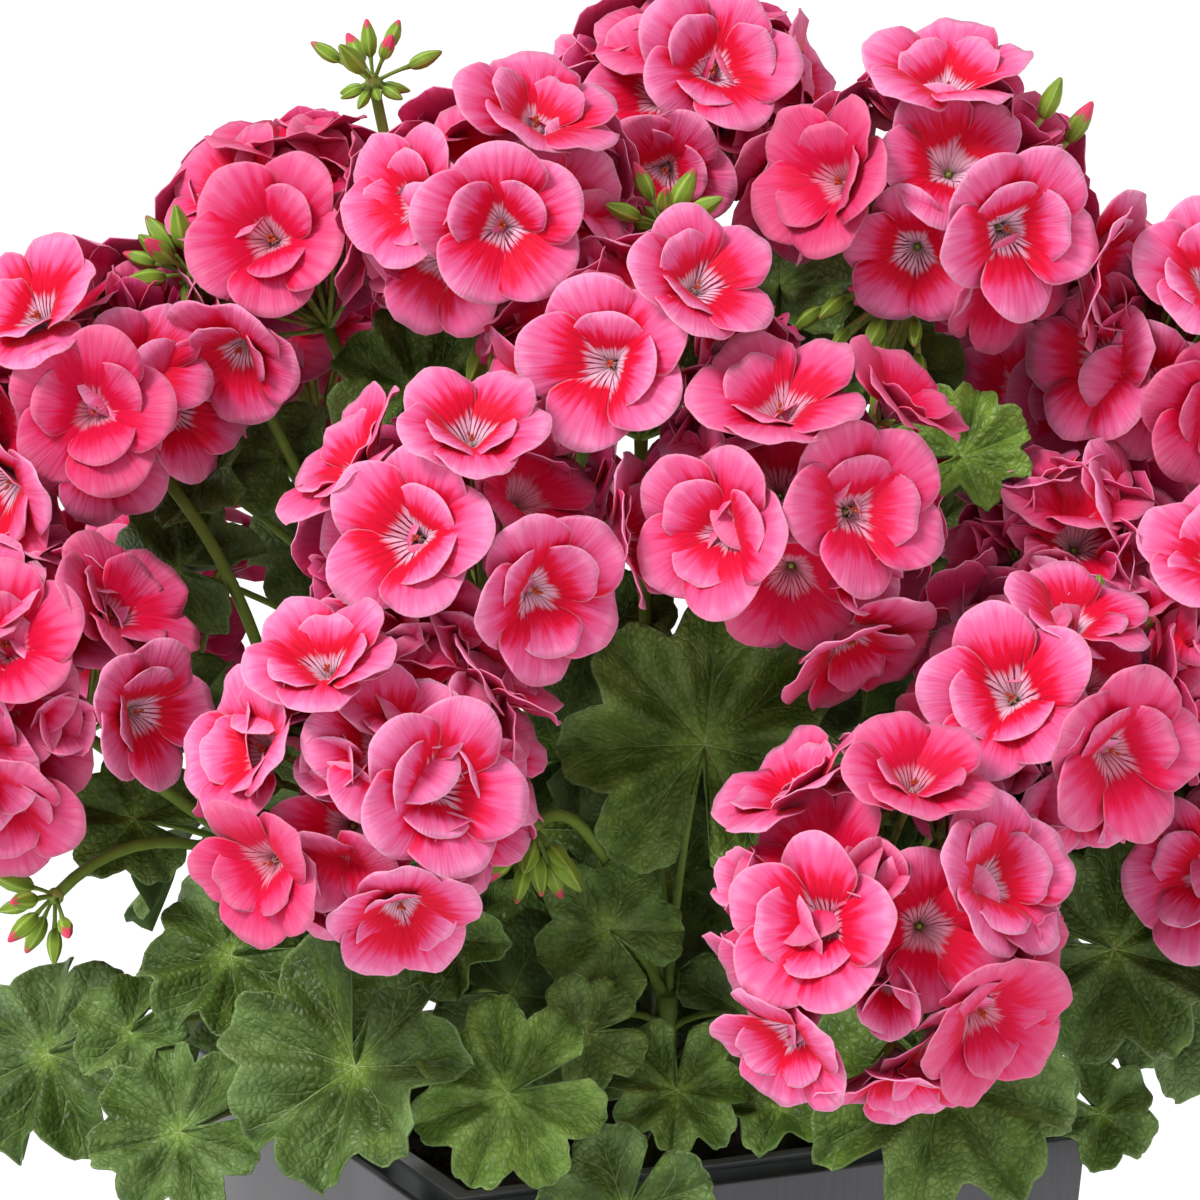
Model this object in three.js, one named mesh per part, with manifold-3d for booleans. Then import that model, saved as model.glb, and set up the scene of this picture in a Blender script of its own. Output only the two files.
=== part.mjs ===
// A pot geranium in a rounded-square planter, in millimetres, +Z up. The origin is the centre of the
// planter's underside. The plant is laid out in a group of its own, turned about the upright, whose
// heights count from just above the planter's rim and whose -Y side is the one that faces the viewer.
import * as THREE from 'three';
import { mergeVertices } from 'three/addons/utils/BufferGeometryUtils.js';
import Module from 'manifold-3d';

const wasm = await Module();
wasm.setup();

// Planter, liner and soil
const planterSide = 201;
const planterHeight = 188;
const planterWall = 2.6;
const planterFloor = 3;
const planterCorner = 28;
const wallLean = THREE.MathUtils.degToRad(4);
const cornerSteps = 4;
const linerGap = 5.5;
const linerWall = 2;
const linerLip = 6;
const linerLipHeight = 3;
const linerStandsProud = 3;
const drainRadius = 5;
const drainSpacing = 70;
const soilBelowRim = 15;
const soilMound = 5;
const soilCrown = 0.72;
const clearance = 0.3;

// Where the plant's own frame stands: turned, a little above the rim and beside the planter's middle
const plantTurn = THREE.MathUtils.degToRad(-24);
const plantLift = 10;
const plantShift = 8;

// Stems and stalks
const stemFootDepth = 48;
const stemFootRadius = 5;
const stemTopRadius = 3.2;
const stemSides = 5;
const stemSteps = 3;
const flowerStalkRadius = 1.9;
const stalkSides = 4;
const flowerStalkRoot = 0.96;
const socketLength = 34;
const leafStalkRadius = 1.4;
const leafStalkArch = 0.2;
const leafStalkBack = 0.12;

// Clusters of closed buds, each bud a spindle out of one hub
const budStemRadius = 1.5;
const budStemRoot = 0.9;
const budHubRadius = 4.4;
const budRoot = 1.8;
const budStalkRadius = 0.8;
const budRadius = 2.4;
const budBelly = 0.65;
const budLength = 18;
const budLengthSpread = 5;

// Leaves: the rim runs round the lobes and into the cuts between them, as shares of the leaf's size
const leafThickness = 0.7;
const leafNeckDepth = 2.1;
const leafNeckRadius = 2.1;
const thinEdgedSize = 24;
const lobeCut = 0.84;
const lobeReach = THREE.MathUtils.degToRad(160);
const lobeShoulder = 0.27;
const baseCut = 0.14;
const baseCorner = 0.8;
const leafWave = 0.06;
const leafSwing = 0.1;

// Florets: an outer whorl of five petals and an inner one of three, on a stalk
const outerPetals = 5;
const innerPetals = 3;
const floretRadius = 23;
const floretRise = 8.5;
const petalCut = 0.66;
const petalCutRise = 3.4;
const petalHalfWidth = THREE.MathUtils.degToRad(29);
const innerRadius = 12.5;
const innerRise = 9.5;
const innerHalfWidth = THREE.MathUtils.degToRad(36);
const throatRadius = 3.4;
const throatDepth = 4.6;
const throatLift = 1.5;
const floretStalkRadius = 1.5;

// Heads: florets that stand out of a small core, which the flower stalk's end is pushed into
const floretHeight = 16;
const floretRoot = 0.4;
const floretSpacing = THREE.MathUtils.degToRad(52);
const fillerDrop = 7;
const headReach = THREE.MathUtils.degToRad(93);
const headTilt = 0.3;
const spiralCount = 44;
const socketMouth = 1.3;

const pink = { color: 0xe4467a, roughness: 0.5, metalness: 0 };
const green = { color: 0x4d6b34, roughness: 0.6, metalness: 0 };
const darkPlastic = { color: 0x3a3b3e, roughness: 0.45, metalness: 0 };
const greyPlastic = { color: 0x8f9396, roughness: 0.5, metalness: 0 };
const brownSoil = { color: 0x2c211b, roughness: 0.95, metalness: 0 };

// Each stem's foot in the soil and its crown, where its stalks part
const stems = [
  { foot: [-34, -46], crown: [-62, -84, 52] },
  { foot: [2, -54], crown: [4, -78, 40] },
  { foot: [38, -40], crown: [66, -84, 36] },
  { foot: [58, -8], crown: [94, -30, 62] },
  { foot: [-62, -6], crown: [-100, -24, 56] },
  { foot: [-30, -12], crown: [-44, -22, 122] },
  { foot: [16, -14], crown: [34, -18, 124] },
  { foot: [50, 28], crown: [88, 20, 96] },
  { foot: [-46, 30], crown: [-74, 22, 104] },
  { foot: [-34, 62], crown: [-64, 92, 62] },
  { foot: [22, 64], crown: [52, 96, 62] },
  { foot: [-2, 26], crown: [-4, 40, 128] },
];

// Flower heads: the stem each grows on, its middle, how far out its florets stand, and the florets
// that face the viewer, each by its place to the right of the middle and above it
const heads = [
  { stem: 2, at: [62, -150, 80], reach: 40,
    florets: [[-18, 0], [25, 11], [-22, -26], [21, -20], [-22, 32], [5, 30], [2, -38]] },
  { stem: 0, at: [-75, -140, 114], reach: 38,
    florets: [[15, 1], [-29, 11], [-22, -15], [26, 27], [6, -26], [-10, 26]] },
  { stem: 2, at: [104, -112, 126], reach: 34, florets: [[-8, 7], [16, -6], [9, -24]] },
  { stem: 2, at: [37, -102, 178], reach: 36,
    florets: [[-18, -1], [16, 5], [15, -29], [-3, 27], [22, 26]] },
  { stem: 0, at: [-52, -106, 170], reach: 38,
    florets: [[-12, 6], [19, -8], [-27, -12], [-27, 24], [36, 6], [2, 26]] },
  { stem: 1, at: [-4, -74, 216], reach: 38, florets: [[-32, -10], [-8, 2], [31, 6], [12, 18]] },
  { stem: 5, at: [-43, -44, 252], reach: 36,
    florets: [[1, -1], [-22, 6], [-27, -14], [10, 27], [25, 18]] },
  { stem: 6, at: [80, -34, 254], reach: 40,
    florets: [[-28, 8], [-9, 8], [17, -5], [1, 34], [36, -12], [28, -26]] },
  { stem: 8, at: [-100, -6, 236], reach: 38,
    florets: [[-7, 5], [-8, 25], [16, -12], [15, 18], [-14, -22]] },
  { stem: 11, at: [10, 34, 270], reach: 36, florets: [[7, 13], [-5, -12], [22, -14], [-19, 6]] },
  { stem: 4, at: [-153, -20, 196], reach: 38,
    florets: [[-3, -1], [28, 5], [-17, 22], [-24, -18], [12, 28]] },
  { stem: 4, at: [-176, -62, 122], reach: 38, florets: [[-3, 14], [24, 22], [-4, -26], [26, -3]] },
  { stem: 3, at: [114, -62, 156], reach: 30, florets: [[-4, 0]] },
  { stem: 7, at: [148, -26, 210], reach: 36, florets: [[8, -12], [-19, 14], [6, 18]] },
  { stem: 3, at: [160, -70, 140], reach: 32, florets: [[-3, 20], [-8, -6], [-2, -24]] },
  { stem: 11, at: [-44, 44, 232], reach: 36, florets: [[-14, 20], [14, 22], [32, 6]] },
  { stem: 3, at: [176, -72, 72], reach: 34, florets: [[-22, 2]] },
  { stem: 7, at: [118, 24, 186], reach: 34, florets: [[3, 4], [-16, 8]] },
  { stem: 9, at: [-108, 74, 190], reach: 36, florets: [] },
  { stem: 10, at: [62, 100, 206], reach: 38, florets: [] },
  { stem: 9, at: [-48, 146, 134], reach: 38, florets: [] },
  { stem: 10, at: [96, 136, 112], reach: 38, florets: [] },
  { stem: 9, at: [-150, 66, 116], reach: 36, florets: [] },
  { stem: 10, at: [168, 52, 116], reach: 36, florets: [] },
];

// Leaves: the stem each grows on, its middle where the stalk joins, its size from there to the tip,
// the way its upper face looks, its lobes and how far it is cupped or, below zero, humped
const leaves = [
  { stem: 1, at: [14, -92, 115], size: 40, face: [0.05, -0.9, 0.4], lobes: 7, cup: 0.1 },
  { stem: 1, at: [-40, -142, 29], size: 27, face: [0, -0.95, 0.3], lobes: 7, cup: 0.08 },
  { stem: 0, at: [-82, -130, 33], size: 36, face: [-0.2, -0.8, 0.5], lobes: 7, cup: 0.28 },
  { stem: 1, at: [-10, -96, 60], size: 21, face: [0.1, -0.8, 0.6], lobes: 5, cup: 0.1 },
  { stem: 0, at: [-56, -122, 67], size: 18, face: [-0.3, -0.8, 0.4], lobes: 5, cup: 0.2 },
  { stem: 1, at: [6, -118, 23], size: 20, face: [0.1, -0.8, 0.55], lobes: 7, cup: 0.1 },
  { stem: 2, at: [35, -112, 16], size: 17, face: [0.1, -0.55, 0.8], lobes: 5, cup: 0.25 },
  { stem: 2, at: [77, -112, 24], size: 38, face: [0.1, -0.75, 0.65], lobes: 7, cup: -0.12 },
  { stem: 3, at: [130, -72, 51], size: 34, face: [0.4, -0.8, 0.4], lobes: 7, cup: 0.12 },
  { stem: 3, at: [146, -40, 94], size: 22, face: [0.3, -0.75, 0.55], lobes: 5, cup: 0.2 },
  { stem: 3, at: [133, -50, 71], size: 18, face: [0.2, -0.8, 0.5], lobes: 5, cup: 0.1 },
  { stem: 6, at: [86, -64, 191], size: 20, face: [0.05, -0.75, 0.65], lobes: 7, cup: 0.3 },
  { stem: 6, at: [37, 12, 226], size: 25, face: [0, -0.6, 0.8], lobes: 5, cup: 0.1 },
  { stem: 6, at: [66, 5, 203], size: 24, face: [0, -0.8, 0.5], lobes: 5, cup: 0.1 },
  { stem: 5, at: [-66, -34, 204], size: 26, face: [-0.1, -0.75, 0.65], lobes: 7, cup: 0.15 },
  { stem: 8, at: [-129, -5, 173], size: 18, face: [-0.3, -0.7, 0.6], lobes: 5, cup: 0.1 },
  { stem: 8, at: [-127, 0, 139], size: 25, face: [-0.3, -0.6, 0.7], lobes: 7, cup: 0.1 },
  { stem: 4, at: [-133, -15, 109], size: 17, face: [-0.3, -0.6, 0.7], lobes: 5, cup: 0.1 },
  { stem: 4, at: [-148, -40, 81], size: 21, face: [-0.4, -0.7, 0.5], lobes: 5, cup: 0.1 },
  { stem: 0, at: [-118, -90, 54], size: 27, face: [-0.3, -0.7, 0.6], lobes: 7, cup: 0.1 },
  { stem: 4, at: [-173, -50, 14], size: 31, face: [-0.4, -0.7, 0.45], lobes: 7, cup: -0.1 },
  { stem: 4, at: [-147, -85, 30], size: 17, face: [-0.2, -0.75, 0.6], lobes: 5, cup: 0.2 },
  { stem: 0, at: [-132, -108, 8], size: 25, face: [-0.2, -0.85, 0.4], lobes: 7, cup: 0.2 },
  { stem: 4, at: [-135, -70, 42], size: 12, face: [-0.3, -0.75, 0.55], lobes: 5, cup: 0.1 },
  { stem: 1, at: [-16, -112, 38], size: 17, face: [0, -0.85, 0.4], lobes: 5, cup: 0.1 },
  { stem: 6, at: [76, -30, 162], size: 21, face: [0.2, -0.8, 0.5], lobes: 5, cup: 0.1 },
  { stem: 8, at: [-108, 4, 178], size: 19, face: [-0.3, -0.7, 0.6], lobes: 5, cup: 0.1 },
  { stem: 2, at: [97, -88, 15], size: 24, face: [0.3, -0.8, 0.4], lobes: 5, cup: -0.1 },
  { stem: 3, at: [150, -30, 22], size: 26, face: [0.6, -0.6, 0.45], lobes: 5, cup: -0.1 },
  { stem: 5, at: [-14, -56, 140], size: 26, face: [-0.05, -0.85, 0.5], lobes: 5, cup: 0.1 },
  { stem: 5, at: [-88, -52, 88], size: 28, face: [-0.2, -0.8, 0.55], lobes: 5, cup: 0.1 },
  { stem: 7, at: [128, 10, 130], size: 28, face: [0.6, -0.3, 0.7], lobes: 7, cup: 0.1 },
  { stem: 7, at: [142, 34, 62], size: 32, face: [0.8, 0.1, 0.55], lobes: 5, cup: 0.1 },
  { stem: 3, at: [120, 4, 22], size: 30, face: [0.8, 0, 0.55], lobes: 5, cup: -0.1 },
  { stem: 10, at: [112, 96, 48], size: 34, face: [0.55, 0.6, 0.55], lobes: 5, cup: 0.1 },
  { stem: 10, at: [70, 140, 40], size: 34, face: [0.25, 0.8, 0.5], lobes: 5, cup: 0.05 },
  { stem: 10, at: [38, 118, 118], size: 32, face: [0.1, 0.7, 0.7], lobes: 5, cup: 0.1 },
  { stem: 10, at: [112, 70, 150], size: 26, face: [0.5, 0.5, 0.7], lobes: 5, cup: 0.1 },
  { stem: 9, at: [10, 128, 62], size: 32, face: [0, 0.85, 0.5], lobes: 5, cup: 0.1 },
  { stem: 9, at: [-62, 130, 34], size: 34, face: [-0.2, 0.8, 0.5], lobes: 5, cup: 0.05 },
  { stem: 9, at: [-112, 92, 40], size: 34, face: [-0.6, 0.6, 0.5], lobes: 5, cup: 0.1 },
  { stem: 9, at: [-30, 104, 176], size: 28, face: [-0.1, 0.6, 0.8], lobes: 5, cup: 0.1 },
  { stem: 8, at: [-138, 40, 54], size: 30, face: [-0.85, 0.1, 0.5], lobes: 5, cup: 0.1 },
  { stem: 4, at: [-128, 10, 16], size: 28, face: [-0.8, -0.1, 0.5], lobes: 5, cup: -0.1 },
  { stem: 11, at: [0, 62, 214], size: 26, face: [0, 0.3, 0.95], lobes: 5, cup: 0.1 },
  { stem: 11, at: [18, 16, 62], size: 38, face: [0.1, -0.85, 0.45], lobes: 5, cup: 0.1 },
  { stem: 8, at: [-34, 8, 66], size: 36, face: [-0.1, -0.85, 0.45], lobes: 5, cup: 0.1 },
  { stem: 11, at: [-50, 20, 136], size: 28, face: [-0.1, -0.85, 0.5], lobes: 5, cup: 0.1 },
  { stem: 8, at: [-92, 30, 148], size: 28, face: [-0.3, -0.8, 0.5], lobes: 5, cup: 0.1 },
  { stem: 11, at: [22, 28, 200], size: 28, face: [0.1, -0.8, 0.55], lobes: 5, cup: 0.1 },
  { stem: 7, at: [62, 10, 100], size: 34, face: [0.15, -0.85, 0.45], lobes: 5, cup: 0.1 },
  { stem: 9, at: [-18, 118, 20], size: 30, face: [-0.1, 0.85, 0.5], lobes: 5, cup: 0.1 },
  { stem: 10, at: [36, 112, 12], size: 28, face: [0.15, 0.8, 0.5], lobes: 5, cup: -0.1 },
  { stem: 8, at: [-120, 60, 10], size: 28, face: [-0.75, 0.35, 0.5], lobes: 5, cup: -0.1 },
  { stem: 1, at: [-8, -140, -6], size: 25, face: [0.05, -0.9, 0.35], lobes: 5, cup: 0.1 },
  { stem: 3, at: [128, -56, -2], size: 17, face: [0.3, -0.8, 0.5], lobes: 5, cup: 0.1 },
];

// Clusters of closed buds: the stem each grows on, its middle, the way it points and its buds
const budClusters = [
  { stem: 5, at: [-79, -20, 290], face: [-0.1, 0, 1], buds: 7, spread: 1 },
  { stem: 8, at: [-131, -26, 236], face: [-0.7, -0.2, 0.6], buds: 6, spread: 0.6 },
  { stem: 5, at: [3, -60, 255], face: [0, -0.6, 0.6], buds: 7, spread: 1.1 },
  { stem: 1, at: [-33, -120, 98], face: [0.1, -0.5, -0.8], buds: 7, spread: 0.7 },
  { stem: 4, at: [-168, -78, 68], face: [-0.6, -0.5, -0.5], buds: 7, spread: 0.9 },
  { stem: 3, at: [122, -100, 146], face: [0.2, -0.7, 0.5], buds: 5, spread: 0.8 },
];

const up = new THREE.Vector3(0, 0, 1);
const vector = (list) => new THREE.Vector3(...list);

// A repeatable number from 0 to 1 for each pair of whole numbers
function chance(first, second) {
  const value = Math.sin(first * 12.9898 + second * 78.233) * 43758.5453;
  return value - Math.floor(value);
}

function solidFrom(points, faces) {
  const vertProperties = new Float32Array(points.flatMap((point) => point.toArray()));
  const triVerts = new Uint32Array(faces.flat());
  return new wasm.Manifold(new wasm.Mesh({ numProp: 3, vertProperties, triVerts }));
}

function solidFromGeometry(geometry) {
  geometry.deleteAttribute('normal');
  geometry.deleteAttribute('uv');
  const merged = mergeVertices(geometry, 1e-4);
  const vertProperties = new Float32Array(merged.attributes.position.array);
  const triVerts = new Uint32Array(merged.index.array);
  return new wasm.Manifold(new wasm.Mesh({ numProp: 3, vertProperties, triVerts }));
}

function meshFrom(solid, name, look) {
  const { vertProperties, triVerts } = solid.getMesh();
  const geometry = new THREE.BufferGeometry();
  geometry.setAttribute('position', new THREE.BufferAttribute(new Float32Array(vertProperties), 3));
  geometry.setIndex(Array.from(triVerts));
  geometry.computeVertexNormals();
  const mesh = new THREE.Mesh(geometry, new THREE.MeshStandardMaterial(look));
  mesh.name = name;
  return mesh;
}

// A closed skin over rings of equally many points, each ring counterclockwise seen from the last one
function loft(rings) {
  const count = rings[0].length;
  const faces = [];
  rings.slice(1).forEach((ring, level) => {
    for (let i = 0; i < count; i += 1) {
      const next = (i + 1) % count;
      const low = level * count;
      const high = low + count;
      faces.push([low + i, low + next, high + next], [low + i, high + next, high + i]);
    }
  });
  const last = (rings.length - 1) * count;
  for (let i = 1; i < count - 1; i += 1) {
    faces.push([0, i + 1, i], [last, last + i, last + i + 1]);
  }
  return solidFrom(rings.flat(), faces);
}

// Rings round a path, carried along it without a twist
function tubeRings(path, radii, sides) {
  let across = null;
  return path.map((point, i) => {
    const before = path[Math.max(i - 1, 0)];
    const after = path[Math.min(i + 1, path.length - 1)];
    const along = after.clone().sub(before).normalize();
    const guide = across || (Math.abs(along.z) > 0.9 ? new THREE.Vector3(1, 0, 0) : up);
    across = guide.clone().addScaledVector(along, -guide.dot(along)).normalize();
    const side = along.clone().cross(across);
    return Array.from({ length: sides }, (_, k) => {
      const angle = (k * 2 * Math.PI) / sides;
      return point.clone()
        .addScaledVector(across, radii[i] * Math.cos(angle))
        .addScaledVector(side, radii[i] * Math.sin(angle));
    });
  });
}

const tube = (path, radii, sides) => loft(tubeRings(path, radii, sides));

// Rounded squares, one ring of points for a height and a side
function squareRing(side, z) {
  const radius = planterCorner - (planterSide - side) / 2;
  const middle = side / 2 - radius;
  const points = [];
  for (let corner = 0; corner < 4; corner += 1) {
    const turn = (corner * Math.PI) / 2;
    const centre = new THREE.Vector3(middle, middle, z).applyAxisAngle(up, turn);
    for (let step = 0; step <= cornerSteps; step += 1) {
      const angle = turn + (step * Math.PI) / (2 * cornerSteps);
      const spoke = new THREE.Vector3(radius * Math.cos(angle), radius * Math.sin(angle), 0);
      points.push(spoke.add(centre));
    }
  }
  return points;
}

// The side of the leaning planter's outside at a height, less a gap on each side
const sideAt = (z, inset) => planterSide - 2 * (planterHeight - z) * Math.tan(wallLean) - 2 * inset;

function planter() {
  return loft([
    squareRing(sideAt(0, 0), 0),
    squareRing(sideAt(planterHeight, 0), planterHeight),
    squareRing(sideAt(planterHeight, planterWall), planterHeight),
    squareRing(sideAt(planterFloor, planterWall), planterFloor),
  ]);
}

const linerFloor = planterFloor + clearance;
const linerTop = planterHeight + linerStandsProud;
const linerOutside = planterWall + linerGap;

function liner() {
  const lipFoot = linerTop - linerLipHeight;
  const body = linerOutside + linerLip - linerWall;
  const shell = loft([
    squareRing(sideAt(linerFloor, body), linerFloor),
    squareRing(sideAt(lipFoot, body), lipFoot),
    squareRing(sideAt(lipFoot, linerOutside), lipFoot + clearance),
    squareRing(sideAt(lipFoot, linerOutside), linerTop),
    squareRing(sideAt(linerTop, body + linerWall), linerTop),
    squareRing(sideAt(linerFloor + linerWall, body + linerWall), linerFloor + linerWall),
  ]);
  return [[1, 1], [-1, 1], [-1, -1], [1, -1]].reduce((rest, [x, y]) => {
    const drain = new THREE.CylinderGeometry(drainRadius, drainRadius, 3 * linerWall, 6);
    drain.rotateX(Math.PI / 2);
    drain.translate((x * drainSpacing) / 2, (y * drainSpacing) / 2, linerFloor + linerWall / 2);
    return rest.subtract(solidFromGeometry(drain));
  }, shell);
}

const soilTop = planterHeight - soilBelowRim;
const soilFloor = linerFloor + linerWall + clearance;

function soil() {
  const inset = linerOutside + linerLip + clearance;
  const block = loft([
    squareRing(sideAt(soilFloor, inset), soilFloor),
    squareRing(sideAt(soilTop - soilMound, inset), soilTop - soilMound),
    squareRing(sideAt(soilTop, inset) * soilCrown, soilTop),
  ]);
  return stems.reduce((rest, { foot }) => {
    const radius = (stemFootRadius + clearance) / Math.cos(Math.PI / stemSides);
    const hole = new THREE.CylinderGeometry(radius, radius, 2 * stemFootDepth, stemSides);
    const place = new THREE.Vector3(foot[0] + plantShift, foot[1], 0).applyAxisAngle(up, plantTurn);
    hole.rotateX(Math.PI / 2);
    hole.translate(place.x, place.y, soilTop + clearance);
    return rest.subtract(solidFromGeometry(hole));
  }, block);
}

// A thin blade on a stalk. The rim runs counterclockwise seen from above and its under points are the
// same as its upper ones where the edge is sharp. The neck is a ring of three points under the blade.
function blade({ rim, under, crown, petals, neck, stalk, stalkRadius }) {
  const points = [];
  const faces = [];
  const add = (point) => points.push(point) - 1;
  const upper = rim.map(add);
  const lower = under.map((point, i) => (point === rim[i] ? upper[i] : add(point)));
  const count = rim.length;
  const next = (i) => (i + 1) % count;
  const third = (i) => Math.floor((3 * i) / count);
  const top = add(crown);
  const throat = petals ? neck.map(({ high }) => add(high)) : null;
  const collar = neck.map(({ low }) => add(low));
  for (let i = 0; i < count; i += 1) {
    const j = next(i);
    faces.push([petals ? throat[third(i)] : top, upper[i], upper[j]]);
    faces.push([collar[third(i)], lower[j], lower[i]]);
    if (third(i) !== third(j)) {
      faces.push([collar[third(i)], collar[third(j)], lower[j]]);
      if (petals) faces.push([throat[third(i)], upper[j], throat[third(j)]]);
    }
    if (upper[i] !== lower[i]) faces.push([upper[i], lower[i], lower[j]]);
    if (upper[j] !== lower[j]) faces.push([upper[i], lower[j], upper[j]]);
  }
  (petals || []).forEach(([first, second], k) => {
    const near = add(first);
    const far = add(second);
    const after = throat[(k + 1) % 3];
    faces.push([throat[k], after, far], [throat[k], far, near]);
    faces.push([top, throat[k], near], [top, near, far], [top, far, after]);
  });
  let ring = collar;
  const middle = neck[0].low.clone().add(neck[1].low).add(neck[2].low).divideScalar(3);
  let spokes = neck.map(({ low }) => low.clone().sub(middle));
  stalk.forEach((place, i) => {
    const from = i === 0 ? middle : stalk[i - 1];
    const to = stalk[Math.min(i + 1, stalk.length - 1)];
    const along = to.clone().sub(from).normalize();
    spokes = spokes.map((spoke) => spoke.clone().addScaledVector(along, -spoke.dot(along)).normalize());
    const nextRing = spokes.map((spoke) => add(place.clone().addScaledVector(spoke, stalkRadius)));
    for (let k = 0; k < 3; k += 1) {
      const after = (k + 1) % 3;
      faces.push([ring[k], nextRing[k], nextRing[after]], [ring[k], nextRing[after], ring[after]]);
    }
    ring = nextRing;
  });
  faces.push([ring[0], ring[2], ring[1]]);
  return solidFrom(points, faces);
}

// A frame on a face: right, ahead and the way out
function frameOn(at, face, ahead) {
  const out = face.clone().normalize();
  const forward = ahead.clone().addScaledVector(out, -ahead.dot(out)).normalize();
  const right = forward.clone().cross(out);
  return (x, y, z) =>
    at.clone().addScaledVector(right, x).addScaledVector(forward, y).addScaledVector(out, z);
}

// What a frame that looks nearly straight up takes for ahead
const aheadOf = (out) => (Math.abs(out.z) > 0.95 ? new THREE.Vector3(0, 1, 0) : up);

// The rise of a leaf's upper face at an angle from its tip, for one unit of its size
function leafRise({ lobes, cup }, angle, reach, mark) {
  const lobePhase = ((angle + lobeReach) / (2 * lobeReach)) * lobes * 2 * Math.PI;
  const swing = leafSwing * Math.sin(2 * angle + 6 * chance(mark, 7));
  return reach * reach * (cup + leafWave * Math.cos(lobePhase) + swing);
}

// The rim of a leaf from the notch at its base round to it again. It thins to nothing in the cuts
// between the lobes, and on a small leaf all round.
function leafMarks({ lobes, size }) {
  const step = (2 * lobeReach) / lobes;
  const sharp = size <= thinEdgedSize;
  const marks = [{ angle: -Math.PI, reach: baseCut, sharp: true }];
  marks.push({ angle: -lobeReach, reach: baseCorner, sharp: true });
  for (let k = 0; k < lobes; k += 1) {
    const middle = -lobeReach + (k + 0.5) * step;
    if (k > 0) marks.push({ angle: middle - step / 2, reach: lobeCut, sharp: true });
    marks.push({ angle: middle - lobeShoulder * step, reach: 1, sharp });
    marks.push({ angle: middle + lobeShoulder * step, reach: 1, sharp });
  }
  marks.push({ angle: lobeReach, reach: baseCorner, sharp: true });
  return marks;
}

// A leaf's stalk arches from its joint under the blade to its root in the stem
function leafStalk(joint, root, face) {
  const span = joint.distanceTo(root);
  const bend = root.clone().lerp(joint, 0.5)
    .addScaledVector(up, leafStalkArch * span)
    .addScaledVector(face, -leafStalkBack * span);
  const curve = new THREE.QuadraticBezierCurve3(joint, bend, root);
  return [curve.getPoint(0.5), root];
}

function leafSolid(leaf, mark, at, face, root) {
  const place = frameOn(at, face, at.clone().sub(root));
  const around = (angle, reach, rise) => place(-reach * Math.sin(angle), reach * Math.cos(angle), rise);
  const marks = leafMarks(leaf);
  const rim = marks.map(({ angle, reach }) =>
    around(angle, leaf.size * reach, leaf.size * leafRise(leaf, angle, reach, mark)));
  const down = face.clone().multiplyScalar(-leafThickness);
  const under = rim.map((point, i) => (marks[i].sharp ? point : point.clone().add(down)));
  const neck = [0, 1, 2].map((k) => {
    const { angle } = marks[Math.round(((k + 0.5) * marks.length) / 3) % marks.length];
    return { low: around(angle, leafNeckRadius, -leafNeckDepth) };
  });
  const stalk = leafStalk(place(0, 0, -leafNeckDepth), root, face);
  const shape = { rim, under, crown: place(0, 0, 0), neck, stalkRadius: leafStalkRadius };
  return { whole: blade({ ...shape, stalk }), flat: blade({ ...shape, stalk: [] }) };
}

// A floret looks the way out, and is turned about it. One that is in full view has both its whorls.
function floretSolid({ at, out, turn, size, full, root }) {
  const place = frameOn(at, out, aheadOf(out));
  const around = (angle, reach, rise) =>
    place(-reach * Math.sin(angle + turn), reach * Math.cos(angle + turn), rise);
  const rim = [];
  for (let petal = 0; petal < outerPetals; petal += 1) {
    const middle = (petal * 2 * Math.PI) / outerPetals;
    const cut = middle - Math.PI / outerPetals;
    rim.push(around(cut, size * petalCut * floretRadius, size * petalCutRise));
    rim.push(around(middle - petalHalfWidth, size * floretRadius, size * floretRise));
    rim.push(around(middle + petalHalfWidth, size * floretRadius, size * floretRise));
  }
  const neck = [];
  const petals = [];
  for (let petal = 0; petal < innerPetals; petal += 1) {
    const angle = -Math.PI / outerPetals + ((petal + 0.5) * 2 * Math.PI) / innerPetals;
    const middle = angle + Math.PI / innerPetals;
    neck.push({ high: around(angle, throatRadius, 0), low: around(angle, throatRadius, -throatDepth) });
    petals.push([-innerHalfWidth, innerHalfWidth].map((lean) =>
      around(middle + lean, size * innerRadius, size * innerRise)));
  }
  return blade({
    rim,
    under: rim,
    crown: place(0, 0, full ? throatLift : 0),
    petals: full ? petals : null,
    neck,
    stalk: [root],
    stalkRadius: floretStalkRadius,
  });
}

// Everything placed so far, so that what comes next can be bent clear of it
const placed = [];

function record(node, solid) {
  placed.push({ node, solid, box: solid.boundingBox() });
  return solid;
}

const boxesMeet = (one, other) =>
  [0, 1, 2].every((axis) => one.min[axis] < other.max[axis] && other.min[axis] < one.max[axis]);

const meets = (solid, box, other) => boxesMeet(box, other.box) && !solid.intersect(other.solid).isEmpty();

const potMeshes = [
  meshFrom(planter(), 'planter', darkPlastic),
  meshFrom(liner(), 'liner', greyPlastic),
  meshFrom(soil(), 'soil', brownSoil),
];

// The pot as the plant's own frame has it
potMeshes.forEach(({ name, geometry }) => {
  const moved = geometry.clone().translate(0, 0, -planterHeight - plantLift).rotateZ(-plantTurn);
  moved.translate(-plantShift, 0, 0);
  record(name, solidFromGeometry(moved));
});

// Whether a solid crosses anything of another node
function crosses(solid, node) {
  const box = solid.boundingBox();
  return placed.some((other) => other.node !== node && meets(solid, box, other));
}

// Whether a solid crosses anything at all
function crossesAny(solid) {
  const box = solid.boundingBox();
  return placed.some((other) => meets(solid, box, other));
}

const twoDigits = (index) => String(index + 1).padStart(2, '0');
const stemName = (index) => `leafy_stem_${twoDigits(index)}`;
const headName = (index) => `flower_head_${twoDigits(index)}`;

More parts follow.
